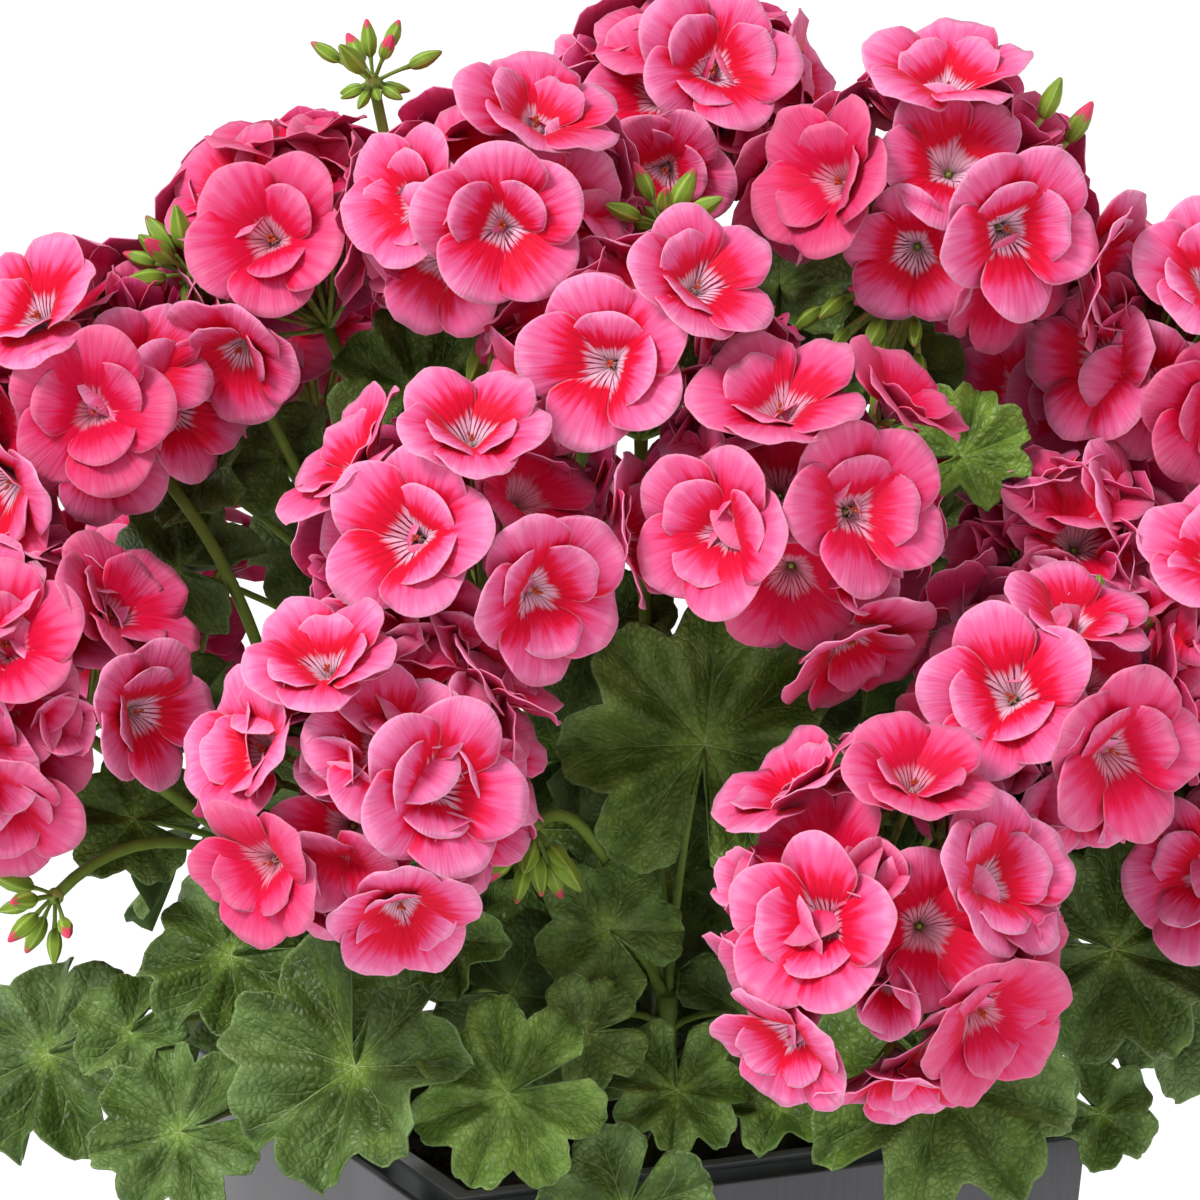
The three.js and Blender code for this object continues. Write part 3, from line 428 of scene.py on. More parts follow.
def floret_corners(place, turn, size):
    """The corners of a solid floret's petals."""
    corners = []
    for petal in range(5):
        middle = petal * 2 * math.pi / 5 + turn
        for angle, reach, rise in (
            (middle - math.pi / 5, PETAL_CUT * FLORET_RADIUS, PETAL_CUT_RISE),
            (middle - PETAL_HALF_WIDTH, FLORET_RADIUS, FLORET_RISE),
        ):
            local = Vector((-reach * math.sin(angle), reach * math.cos(angle), rise))
            corners.append(place @ (size * local))
    return corners


def kept_florets(head, mark, tree):
    """The florets that the solid's head has, each with its way out, place, turn, size and whether it is full."""
    _, at, reach, seen = head
    hub = Vector(at)
    axis = head_axis(hub)
    kept = []

    def try_floret(out, full):
        turn = 2 * math.pi * chance(mark, len(kept))
        for lift, size in FLORET_TRIES:
            far = reach + lift if full else reach + lift - FILLER_DROP
            place = frame_on(hub + far * out, out, ahead_of(out))
            if is_there(tree, floret_corners(place, turn, size)):
                kept.append((out, place, turn, size, full))
                return

    for spot in seen:
        try_floret(seen_direction(spot, reach), True)
    tilt = UP.rotation_difference(axis)
    for i in range(SPIRAL_COUNT):
        out = tilt @ spiral(i, SPIRAL_COUNT)
        has_room = all(other[0].angle(out) >= FLORET_SPACING for other in kept)
        if has_room and out.angle(axis) <= HEAD_REACH:
            try_floret(out, False)
    return kept


# Small tools for making pieces


def active():
    return bpy.context.view_layer.objects.active


def select_only(*pieces):
    bpy.ops.object.select_all(action="DESELECT")
    for piece in pieces:
        piece.select_set(True)
    bpy.context.view_layer.objects.active = pieces[0]


def moved(piece, matrix):
    piece.data.transform(matrix)
    return piece


def positions(piece):
    flat = np.empty(3 * len(piece.data.vertices))
    piece.data.vertices.foreach_get("co", flat)
    return flat.reshape(-1, 3)


def set_positions(piece, points):
    piece.data.vertices.foreach_set("co", np.ascontiguousarray(points, dtype=np.float32).ravel())
    piece.data.update()


def set_value(piece, name, values):
    """Gives each point of a piece a value that its material reads."""
    mesh = piece.data
    layer = mesh.attributes.get(name) or mesh.attributes.new(name, "FLOAT", "POINT")
    layer.data.foreach_set("value", np.broadcast_to(values, len(mesh.vertices)).astype(np.float32).copy())
    return piece


def set_pattern(piece, values):
    """Lays a pattern's coordinates over a piece, one pair for each point."""
    mesh = piece.data
    layer = mesh.uv_layers[0] if mesh.uv_layers else mesh.uv_layers.new()
    layer.name = "pattern"
    corners = np.empty(len(mesh.loops), dtype=np.int32)
    mesh.loops.foreach_get("vertex_index", corners)
    layer.data.foreach_set("uv", np.asarray(values, dtype=np.float32)[corners].ravel())


def add_sheet(columns, rows):
    """A flat grid, with the share across and the share along of each of its points."""
    bpy.ops.mesh.primitive_grid_add(x_subdivisions=columns, y_subdivisions=rows, size=1)
    sheet = active()
    points = positions(sheet)
    return sheet, points[:, 0] + 0.5, points[:, 1] + 0.5


def thicken(sheet, thickness, materials):
    """Gives a sheet its thickness behind the side it looks to, and the new side the second material."""
    for material in materials:
        sheet.data.materials.append(material)
    solidify = sheet.modifiers.new("thickness", "SOLIDIFY")
    solidify.thickness = thickness
    solidify.offset = -1
    solidify.material_offset = 1
    select_only(sheet)
    bpy.ops.object.modifier_apply(modifier=solidify.name)
    bpy.ops.object.shade_smooth()
    return sheet


def merge_near(piece, gap=0.001):
    shape = bmesh.new()
    shape.from_mesh(piece.data)
    bmesh.ops.remove_doubles(shape, verts=shape.verts, dist=gap)
    shape.to_mesh(piece.data)
    shape.free()


def join(name, pieces):
    select_only(*pieces)
    if len(pieces) > 1:
        bpy.ops.object.join()
    joined = active()
    joined.name = name
    joined.data.name = name
    return joined


def twin(template, matrix, **values):
    """A copy of a piece with a mesh of its own, put in place."""
    copy = template.copy()
    copy.data = template.data.copy()
    bpy.context.scene.collection.objects.link(copy)
    copy.data.transform(matrix)
    for name, value in values.items():
        set_value(copy, name, value)
    return copy


def add_stalks(paths, material, sides=3):
    """Round stalks along paths, each a list of points with a radius at each, as one mesh."""
    curve = bpy.data.curves.new("stalks", "CURVE")
    curve.dimensions = "3D"
    curve.bevel_depth = 1
    curve.bevel_resolution = sides - 2
    curve.use_fill_caps = True
    curve.resolution_u = 3
    for points, radii in paths:
        spline = curve.splines.new("POLY")
        spline.points.add(len(points) - 1)
        for knot, point, radius in zip(spline.points, points, radii):
            knot.co = (*point, 1)
            knot.radius = radius
    stalks = bpy.data.objects.new("stalks", curve)
    bpy.context.scene.collection.objects.link(stalks)
    select_only(stalks)
    bpy.ops.object.convert(target="MESH")
    stalks = active()
    merge_near(stalks)
    stalks.data.materials.clear()
    stalks.data.materials.append(material)
    bpy.ops.object.shade_smooth()
    set_value(stalks, "shade", 0.5)
    return stalks


def finish_piece(piece, slot, *nodes):
    """Puts a piece of the plant into the object's frame, on its body, in place of its solids."""
    piece.data.transform(PLANT_PLACE)
    seat_piece(piece, slot, *nodes)


def seat_piece(piece, slot, *nodes):
    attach(piece, "root")
    if nodes:
        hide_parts(*nodes)


# Finishes


def linear(hex_value):
    """An sRGB hex colour as the linear one that a shader takes."""
    parts = [int(hex_value[i:i + 2], 16) / 255 for i in (1, 3, 5)]
    return (*[p / 12.92 if p <= 0.04045 else ((p + 0.055) / 1.055) ** 2.4 for p in parts], 1)


def new_material(name, **sockets):
    """A material with its shader, whose sockets are named with _ for a space."""
    material = bpy.data.materials.new(name)
    material.use_nodes = True
    shader = material.node_tree.nodes["Principled BSDF"]
    for socket, value in sockets.items():
        shader.inputs[socket.replace("_", " ")].default_value = value
    return material, shader


def add_node(material, kind, inputs=None, **settings):
    """Adds a node with its settings, and its inputs as values or as links from other nodes' outputs."""
    node = material.node_tree.nodes.new(kind)
    for name, value in settings.items():
        setattr(node, name, value)
    for key, value in (inputs or {}).items():
        if isinstance(value, bpy.types.NodeSocket):
            material.node_tree.links.new(value, node.inputs[key])
        else:
            node.inputs[key].default_value = value
    return node


def math_node(material, operation, first, second=0.0, third=0.0):
    node = add_node(material, "ShaderNodeMath", {0: first, 1: second, 2: third}, operation=operation)
    return node.outputs[0]


def blend(material, share, first, second):
    """Mixes two colours, each a hex value or an output, by a share."""
    first = linear(first) if isinstance(first, str) else first
    second = linear(second) if isinstance(second, str) else second
    node = add_node(material, "ShaderNodeMix", {0: share, 6: first, 7: second}, data_type="RGBA")
    return node.outputs[2]


def ramp(material, share, stops):
    """A colour for each share, between stops of a place and a hex value."""
    node = add_node(material, "ShaderNodeValToRGB", {0: share})
    band = node.color_ramp
    while len(band.elements) < len(stops):
        band.elements.new(0.5)
    for element, (place, hex_value) in zip(band.elements, stops):
        element.position = place
        element.color = linear(hex_value)
    return node.outputs[0]


def step_between(material, value, low, high):
    """0 below low, 1 above high and smooth between, or the other way round where low is above high."""
    flipped = low > high
    node = add_node(
        material,
        "ShaderNodeMapRange",
        {0: value, 1: min(low, high), 2: max(low, high), 3: float(flipped), 4: float(not flipped)},
        interpolation_type="SMOOTHSTEP",
    )
    return node.outputs[0]


def noise(material, vector, scale, detail=2.0, roughness=0.5):
    inputs = {"Vector": vector, "Scale": scale, "Detail": detail, "Roughness": roughness}
    return add_node(material, "ShaderNodeTexNoise", inputs).outputs[0]


def own_value(material, name):
    return add_node(material, "ShaderNodeAttribute", attribute_name=name).outputs["Fac"]


def pattern_of(material):
    """The two pattern coordinates of a piece."""
    source = add_node(material, "ShaderNodeUVMap", uv_map="pattern").outputs[0]
    parts = add_node(material, "ShaderNodeSeparateXYZ", {0: source})
    return parts.outputs[0], parts.outputs[1]


def point_of(material, x, y, z):
    return add_node(material, "ShaderNodeCombineXYZ", {0: x, 1: y, 2: z}).outputs[0]


def object_point(material):
    return add_node(material, "ShaderNodeTexCoord").outputs["Object"]


def bump(material, shader, height, strength, distance):
    node = add_node(material, "ShaderNodeBump", {"Height": height, "Strength": strength, "Distance": distance})
    material.node_tree.links.new(node.outputs[0], shader.inputs["Normal"])


def colour_of(material, shader, colour):
    material.node_tree.links.new(colour, shader.inputs["Base Color"])


def geranium_petal():
    """The face of a petal: a pale throat with dark veins, a feathered red zone and a pink margin."""
    material, shader = new_material(
        "geranium_petal_face",
        Roughness=0.55,
        Sheen_Weight=0.05,
        Sheen_Roughness=0.4,
        Specular_IOR_Level=0.12,
    )
    fan, along = pattern_of(material)
    shade = own_value(material, "shade")
    edge = own_value(material, "edge")
    seed = math_node(material, "MULTIPLY", shade, 37.0)
    slow_along = math_node(material, "MULTIPLY", along, 2.2)
    wide_fan = math_node(material, "MULTIPLY", fan, 26.0)
    streaks = noise(material, point_of(material, wide_fan, slow_along, seed), 1.0, 1.0)
    fine_fan = math_node(material, "MULTIPLY", fan, 70.0)
    veins = noise(material, point_of(material, fine_fan, slow_along, seed), 1.0, 1.0)
    clouds = noise(material, object_point(material), 130.0, 1.0)

    margin = step_between(material, edge, 0.5, 1.0)
    outer = math_node(material, "MULTIPLY_ADD", streaks, 0.36, math_node(material, "SUBTRACT", along, 0.18))
    outer = math_node(material, "MULTIPLY_ADD", margin, 0.08, outer)
    outer = math_node(material, "MULTIPLY_ADD", clouds, 0.16, math_node(material, "SUBTRACT", outer, 0.08))
    face = ramp(material, outer, [
        (0.3, "#DA052C"),
        (0.53, "#E20A36"),
        (0.61, "#E62E62"),
        (0.69, "#EA548C"),
        (0.87, "#EE70A5"),
        (1.0, "#F48EBC"),
    ])
    vein_lines = step_between(material, veins, 0.5, 0.66)
    outside = step_between(material, outer, 0.5, 0.75)
    faint_lines = math_node(material, "MULTIPLY", math_node(material, "MULTIPLY", vein_lines, outside), 0.2)
    face = blend(material, faint_lines, face, "#D22F6C")

    throat = ramp(material, along, [(0.0, "#C9B98A"), (0.09, "#E9BFD2"), (0.2, "#F3C9DC"), (0.32, "#EDA8C4")])
    ray_bend = math_node(material, "MULTIPLY_ADD", streaks, 4.4, math_node(material, "MULTIPLY", fan, 76.0))
    rays = step_between(material, math_node(material, "COSINE", ray_bend), 0.35, 0.95)
    rays = math_node(material, "MULTIPLY", rays, own_value(material, "upper"))
    rays = math_node(material, "MULTIPLY", rays, step_between(material, along, 0.06, 0.14))
    throat = blend(material, rays, throat, "#85194F")
    inner = math_node(material, "MULTIPLY_ADD", streaks, 0.2, math_node(material, "SUBTRACT", along, 0.1))
    face = blend(material, step_between(material, inner, 0.27, 0.37), throat, face)
    red_rays = math_node(material, "MULTIPLY", rays, step_between(material, outer, 0.6, 0.42))
    face = blend(material, math_node(material, "MULTIPLY", red_rays, 0.3), face, "#8E0A2C")

    rim = math_node(material, "MULTIPLY", step_between(material, edge, 0.93, 1.0), 0.4)
    face = blend(material, rim, face, "#F9BCD4")
    # Deeper crimson on florets with a high value: partly their own tone, partly painted shade that gives shaded
    # petals their deep crimson.
    deeper_tone_and_painted_shade = math_node(material, "MULTIPLY", step_between(material, shade, 0.4, 1.0), 0.5)
    face = blend(material, deeper_tone_and_painted_shade, face, "#CE0A48")
    colour_of(material, shader, face)
    bump(material, shader, veins, 0.5, 0.0005)
    return material


def geranium_petal_back():
    """The back of a petal: lilac pink with fine veins, paler towards its foot."""
    material, shader = new_material(
        "geranium_petal_back",
        Roughness=0.55,
        Sheen_Weight=0.05,
        Sheen_Roughness=0.4,
        Specular_IOR_Level=0.12,
    )
    fan, along = pattern_of(material)
    shade = own_value(material, "shade")
    seed = math_node(material, "MULTIPLY", shade, 37.0)
    fine_fan = math_node(material, "MULTIPLY", fan, 46.0)
    slow_along = math_node(material, "MULTIPLY", along, 2.2)
    veins = noise(material, point_of(material, fine_fan, slow_along, seed), 1.0, 1.0)
    face = ramp(material, along, [
        (0.0, "#DDB8B0"),
        (0.2, "#DE7FA6"),
        (0.45, "#D01C5A"),
        (0.7, "#D93874"),
        (1.0, "#E46498"),
    ])
    lines = math_node(material, "MULTIPLY", step_between(material, veins, 0.5, 0.64), 0.4)
    face = blend(material, lines, face, "#C42E6C")
    # Deeper crimson on florets with a high value: partly their own tone, partly painted shade for the backs that
    # lie in the heads' shade.
    deeper_tone_and_painted_shade = math_node(material, "MULTIPLY", step_between(material, shade, 0.4, 1.0), 0.3)
    face = blend(material, deeper_tone_and_painted_shade, face, "#B81250")
    colour_of(material, shader, face)
    bump(material, shader, veins, 0.3, 0.0003)
    return material


def leaf_veins(material, lobe, along):
    """Where a leaf's veins run: one out to each lobe, with side veins to its teeth."""
    sway = noise(material, object_point(material), 110.0, 1.0)
    sway = math_node(material, "MULTIPLY", math_node(material, "SUBTRACT", sway, 0.5), along)
    part = math_node(material, "MULTIPLY_ADD", sway, 0.3, math_node(material, "FRACT", lobe))
    off = math_node(material, "ABSOLUTE", math_node(material, "SUBTRACT", part, 0.5))
    across = math_node(material, "MULTIPLY", off, along)
    thin = math_node(material, "MULTIPLY_ADD", along, -0.007, 0.01)
    main = step_between(material, math_node(material, "SUBTRACT", across, thin), 0.005, -0.005)
    lines = [main]
    for leaves_at, slope in ((0.3, 0.62), (0.55, 0.5)):
        past = math_node(material, "SUBTRACT", along, leaves_at)
        track = math_node(material, "MULTIPLY", past, slope)
        gap = math_node(material, "ABSOLUTE", math_node(material, "SUBTRACT", off, track))
        gap = math_node(material, "MULTIPLY", gap, along)
        side = step_between(material, gap, 0.012, 0.003)
        side = math_node(material, "MULTIPLY", side, step_between(material, past, 0.0, 0.04))
        lines.append(math_node(material, "MULTIPLY", side, 0.4))
    both = math_node(material, "MAXIMUM", lines[0], lines[1])
    return math_node(material, "MAXIMUM", both, lines[2])


def leaf_net(material, scale):
    """The fine net between a leaf's veins, raised in small cushions."""
    point = object_point(material)
    cells = add_node(
        material,
        "ShaderNodeTexVoronoi",
        {"Vector": point, "Scale": scale},
        feature="DISTANCE_TO_EDGE",
    )
    return cells.outputs["Distance"]


def geranium_leaf():
    """The face of a leaf: mid green and downy, lighter at the joint, with pale sunken veins and painted shade in
    the hollows of its fine net.
    """
    material, shader = new_material(
        "geranium_leaf_face",
        Roughness=0.44,
        Sheen_Weight=0.05,
        Sheen_Roughness=0.4,
        Specular_IOR_Level=0.3,
    )
    shader.inputs["Sheen Tint"].default_value = linear("#B6CC90")
    lobe, along = pattern_of(material)
    shade = own_value(material, "shade")
    patches = noise(material, object_point(material), 120.0, 2.0)
    broad = noise(material, object_point(material), 34.0, 1.0)
    base = ramp(material, patches, [(0.3, "#2F4513"), (0.5, "#425C1F"), (0.7, "#5A762F")])
    dusty = ramp(material, patches, [(0.3, "#4D6A2E"), (0.7, "#7A9659")])
    base = blend(material, step_between(material, broad, 0.42, 0.6), base, dusty)
    # The light green that a leaf's own value blends towards: young leaves' colour, and for the big front leaf
    # partly painted light.
    youth_and_painted_light = ramp(material, patches, [(0.3, "#5A7E25"), (0.7, "#98B84E")])
    colour = blend(material, shade, base, youth_and_painted_light)
    band = math_node(
        material,
        "MULTIPLY",
        step_between(material, along, 0.16, 0.36),
        step_between(material, along, 0.74, 0.5),
    )
    colour = blend(material, math_node(material, "MULTIPLY", band, 0.4), colour, "#38480F")
    middle = math_node(material, "MULTIPLY", step_between(material, along, 0.32, 0.0), 0.65)
    colour = blend(material, middle, colour, "#80A034")
    veins = leaf_veins(material, lobe, along)
    fading = math_node(material, "MULTIPLY_ADD", along, -0.45, 0.8)
    pale = math_node(material, "MULTIPLY", veins, fading)
    colour = blend(material, pale, colour, "#9DB56A")
    margin = math_node(material, "MULTIPLY", step_between(material, along, 0.965, 1.0), 0.55)
    colour = blend(material, margin, colour, "#8FAA68")
    net = leaf_net(material, 420.0)
    # Painted shade: the hollows between the net's small cushions are darkened towards a deep green.
    painted_shade_in_hollows = math_node(material, "MULTIPLY", step_between(material, net, 0.16, 0.0), 0.25)
    colour = blend(material, painted_shade_in_hollows, colour, "#1F2E0C")
    colour_of(material, shader, colour)
    relief = math_node(material, "MULTIPLY_ADD", net, 1.6, math_node(material, "MULTIPLY", veins, -0.9))
    bump(material, shader, relief, 0.6, 0.001)
    return material


def geranium_leaf_back():
    """The back of a leaf: paler and duller green, with its veins standing out."""
    material, shader = new_material("geranium_leaf_back", Roughness=0.65, Specular_IOR_Level=0.12)
    lobe, along = pattern_of(material)
    patches = noise(material, object_point(material), 70.0, 2.0)
    veins = leaf_veins(material, lobe, along)
    colour = blend(material, patches, "#4E6636", "#647C46")
    colour = blend(material, math_node(material, "MULTIPLY", veins, 0.6), colour, "#8DA468")
    colour_of(material, shader, colour)
    bump(material, shader, veins, 0.5, 0.0005)
    return material


def soft_stalk():
    """Green stalks and stems: juicy and light above, duller and browner towards the soil."""
    material, shader = new_material("geranium_stalk", Roughness=0.5, Specular_IOR_Level=0.2)
    point = object_point(material)
    height = add_node(material, "ShaderNodeSeparateXYZ", {0: point}).outputs[2]
    patches = noise(material, point, 160.0, 3.0)
    fresh = blend(material, patches, "#5F7A2A", "#8AA246")
    old = blend(material, patches, "#38451E", "#544C2A")
    colour = blend(material, step_between(material, height, RIM_HEIGHT, RIM_HEIGHT + 0.07), old, fresh)
    colour_of(material, shader, colour)
    bump(material, shader, noise(material, point, 1500.0, 2.0), 0.35, 0.0003)
    return material


def flower_stalk_green():
    """The short stalks and sepals under the florets: light green with a red flush."""
    material, shader = new_material("geranium_sepal", Roughness=0.5, Specular_IOR_Level=0.2)
    point = object_point(material)
    patches = noise(material, point, 260.0, 2.0)
    colour = ramp(material, patches, [(0.3, "#6F8A3A"), (0.55, "#98AE52"), (0.75, "#B08A5A")])
    colour_of(material, shader, colour)
    bump(material, shader, noise(material, point, 1500.0, 2.0), 0.3, 0.0003)
    return material


def bud_skin():
    """A closed bud: yellow-green sepals, and the folded petals' pink at the tip of a ripe one."""
    material, shader = new_material("geranium_bud", Roughness=0.45, Specular_IOR_Level=0.25)
    around, along = pattern_of(material)
    shade = own_value(material, "shade")
    ridges = math_node(material, "SINE", math_node(material, "MULTIPLY", around, 10 * math.pi))
    green = ramp(material, along, [(0.0, "#5F7C28"), (0.5, "#86A634"), (1.0, "#6A8028")])
    green = blend(material, step_between(material, ridges, 0.3, 1.0), green, "#A2BC50")
    opening = math_node(material, "MULTIPLY_ADD", shade, -0.55, 1.18)
    wavy = math_node(material, "MULTIPLY_ADD", ridges, 0.07, along)
    tip = math_node(material, "SUBTRACT", wavy, opening)
    colour = blend(material, step_between(material, tip, -0.03, 0.05), green, "#DE4566")
    colour_of(material, shader, colour)
    bump(material, shader, ridges, 0.25, 0.0005)
    return material


def plain_finish(name, hex_value, roughness, **sockets):
    material, shader = new_material(name, Roughness=roughness, **sockets)
    speckle = noise(material, object_point(material), 700.0, 2.0)
    dark = tuple(0.72 * part for part in linear(hex_value)[:3]) + (1,)
    colour_of(material, shader, blend(material, speckle, dark, linear(hex_value)))
    bump(material, shader, speckle, 0.15, 0.0003)
    return material


def brushed_planter_plastic():
    """Dark grey polypropylene with a fine upright grain and a satin shine."""
    material, shader = new_material("polypropylene_anthracite", Roughness=0.4, IOR=1.49)
    point = object_point(material)
    grain_point = add_node(material, "ShaderNodeMapping", {0: point, 3: (900.0, 900.0, 14.0)}).outputs[0]
    grain = noise(material, grain_point, 1.0, 3.0, 0.6)
    clouds = noise(material, point, 14.0, 2.0)
    colour = blend(material, grain, "#424146", "#5C5B60")
    dusty = math_node(material, "MULTIPLY", step_between(material, clouds, 0.45, 0.75), 0.25)
    colour = blend(material, dusty, colour, "#6A6A6E")
    colour_of(material, shader, colour)
    rough = add_node(material, "ShaderNodeMapRange", {0: grain, 3: 0.34, 4: 0.5}).outputs[0]
    material.node_tree.links.new(rough, shader.inputs["Roughness"])
    bump(material, shader, grain, 0.3, 0.0002)
    return material


def liner_plastic():
    """Plain light grey polypropylene, a little dusty."""
    material, shader = new_material("polypropylene_light_grey", Roughness=0.5, IOR=1.49)
    point = object_point(material)
    dust = noise(material, point, 60.0, 4.0)
    colour_of(material, shader, blend(material, dust, "#7F8286", "#9A9DA0"))
    bump(material, shader, noise(material, point, 900.0, 2.0), 0.2, 0.0002)
    return material


def potting_soil():
    """Moist peat and bark: dark brown crumbs with a few lighter fibres."""
    material, shader = new_material("peat_and_bark", Roughness=0.85)
    point = object_point(material)
    crumbs = noise(material, point, 420.0, 5.0, 0.65)
    colour = ramp(material, crumbs, [(0.3, "#140E0B"), (0.5, "#2C2018"), (0.68, "#4A3626"), (0.8, "#6B5038")])
    colour_of(material, shader, colour)
    bump(material, shader, crumbs, 0.9, 0.0012)
    return material


PETAL_FACE = geranium_petal()
PETAL_BACK = geranium_petal_back()
LEAF_FACE = geranium_leaf()
LEAF_BACK = geranium_leaf_back()
STALK = soft_stalk()
SEPAL = flower_stalk_green()
BUD_SKIN = bud_skin()
ANTHER = plain_finish("geranium_anther", "#C8502E", 0.6)
FILAMENT = plain_finish("geranium_filament", "#EFC9C4", 0.5)


# The leaf


def leaf_rim(lobes, share):
    """A leaf's rim at shares round it from the notch at its base: its angle from the tip and its reach."""
    sinus = 0.05
    lobe = (np.clip(share, sinus, 1 - sinus) - sinus) / (1 - 2 * sinus) * lobes
    part = lobe - np.floor(np.minimum(lobe, lobes - 1e-6)) - 0.5
    at_base = (lobe < 0.5) | (lobe > lobes - 0.5)
    drop = np.where(at_base, 1 - BASE_CORNER, 1.75 * (1 - LOBE_CUT))
    envelope = 1.01 - drop * np.abs(2 * part) ** 3
    teeth = np.abs(np.cos(4 * math.pi * part)) ** 0.6
    reach = envelope + 0.05 * (teeth - 0.62)
    angle = -CLOSED_REACH + lobe / lobes * 2 * CLOSED_REACH
    x, y = -reach * np.sin(angle), reach * np.cos(angle)
    into = np.clip((sinus - np.minimum(share, 1 - share)) / sinus, 0, 1)
    x = x * (1 - into)
    y = y * (1 - into) - BASE_CUT * into
    return lobe, part, x, y


def leaf_blade(leaf, mark, place, shade, steps=16, rings=10):
    """A leaf's blade, with its lobes and teeth, waved and cupped, on the place where its stalk joins."""
    _, _, size, _, lobes, cup = leaf
    sheet, around, along = add_sheet(steps * lobes + 6, rings)
    lobe, part, x, y = leaf_rim(lobes, around)
    reach = np.hypot(x, y)
    angle = np.arctan2(-x, y)
    phase = (angle + LOBE_REACH) / (2 * LOBE_REACH) * lobes * 2 * math.pi
    swing = LEAF_SWING * np.sin(2 * angle + 6 * chance(mark, 7))
    rise = reach ** 2 * along ** 1.5 * (cup + LEAF_WAVE * np.cos(phase) + swing)
    valley = 0.6 * (np.abs(part) - 0.25) * along * smooth(0.02, 0.4, along)
    cushions = 0.055 * np.abs(np.sin(4 * math.pi * part)) * along * smooth(0, 0.5, along)
    cushions += valley
    frill = 0.1 * np.sin(5 * angle + 9 * chance(mark, 3)) * along ** 3
    frill += 0.03 * np.sin(11 * angle + 9 * chance(mark, 4)) * along ** 5
    points = np.stack([x * along, y * along, rise + cushions + frill], axis=1) * size
    set_positions(sheet, points)
    set_pattern(sheet, np.stack([lobe, along], axis=1))
    merge_near(sheet)
    # The sheet looks down, because it runs round the leaf, so its back comes first
    thicken(sheet, LEAF_THICKNESS, [LEAF_BACK, LEAF_FACE])
    set_value(sheet, "shade", shade)
    return moved(sheet, place)


def leaf_stalk(leaf, place):
    root = leaf_root(leaf)
    joint = place @ Vector((0, 0, -0.5))
    face = place.to_3x3() @ UP
    reach = (joint - root).length
    bend = root.lerp(joint, 0.5) + LEAF_STALK_ARCH * reach * UP - LEAF_STALK_BACK * reach * face
    path = arc(joint, bend, root, 8)
    radii = [0.8 * LEAF_STALK_RADIUS] + [LEAF_STALK_RADIUS] * 6 + [1.3 * LEAF_STALK_RADIUS] * 2
    return path, radii


# The buds


def bud_template():
    """A closed bud, its foot at the origin: a spindle with five low ridges, drawn to a point."""
    bpy.ops.mesh.primitive_uv_sphere_add(segments=10, ring_count=8, radius=1)
    bud = active()
    points = positions(bud)
    along = (points[:, 2] + 1) / 2
    around = np.arctan2(points[:, 1], points[:, 0]) / (2 * math.pi) + 0.5
    width = 1 + 0.06 * np.cos(10 * math.pi * around) - 0.35 * smooth(0.5, 1.0, along)
    points[:, 0] *= BUD_RADIUS * width
    points[:, 1] *= BUD_RADIUS * width
    points[:, 2] = BUD_LENGTH * along ** 1.15
    set_positions(bud, points)
    set_pattern(bud, np.stack([around, along], axis=1))
    bud.data.materials.append(BUD_SKIN)
    select_only(bud)
    bpy.ops.object.shade_smooth()
    set_value(bud, "shade", 0.0)
    return bud


def spray_pieces(foot, spray, mark, bud):
    """Single buds that hang or stand out of a head, each on its own thin stalk."""
    _, face, count, wide, reach, ripe = spray
    place = frame_on(Vector(), Vector(face).normalized(), ahead_of(Vector(face).normalized())).to_3x3()
    paths, buds = [], []
    for k in range(count):
        turn = 2.4 * k
        lean = wide * math.sqrt((k + 0.5) / count)
        out = place @ Vector((math.sin(lean) * math.cos(turn), math.sin(lean) * math.sin(turn), math.cos(lean)))
        tip = foot + reach * (0.85 + 0.3 * chance(mark, k)) * out
        ahead = (out + 0.5 * (UP if face[2] > 0 else -UP)).normalized()
        size = 0.7 + 0.35 * chance(mark, k + 20)
        paths.append((arc(foot, foot.lerp(tip, 0.6) + 4 * (out - ahead), tip + 0.6 * ahead, 5), [0.8] * 5 + [1]))
        here = frame_on(tip, ahead, ahead_of(ahead)) @ Matrix.Scale(size, 4)
        buds.append(twin(bud, here, shade=ripe * chance(mark, k + 40)))
    return paths, buds


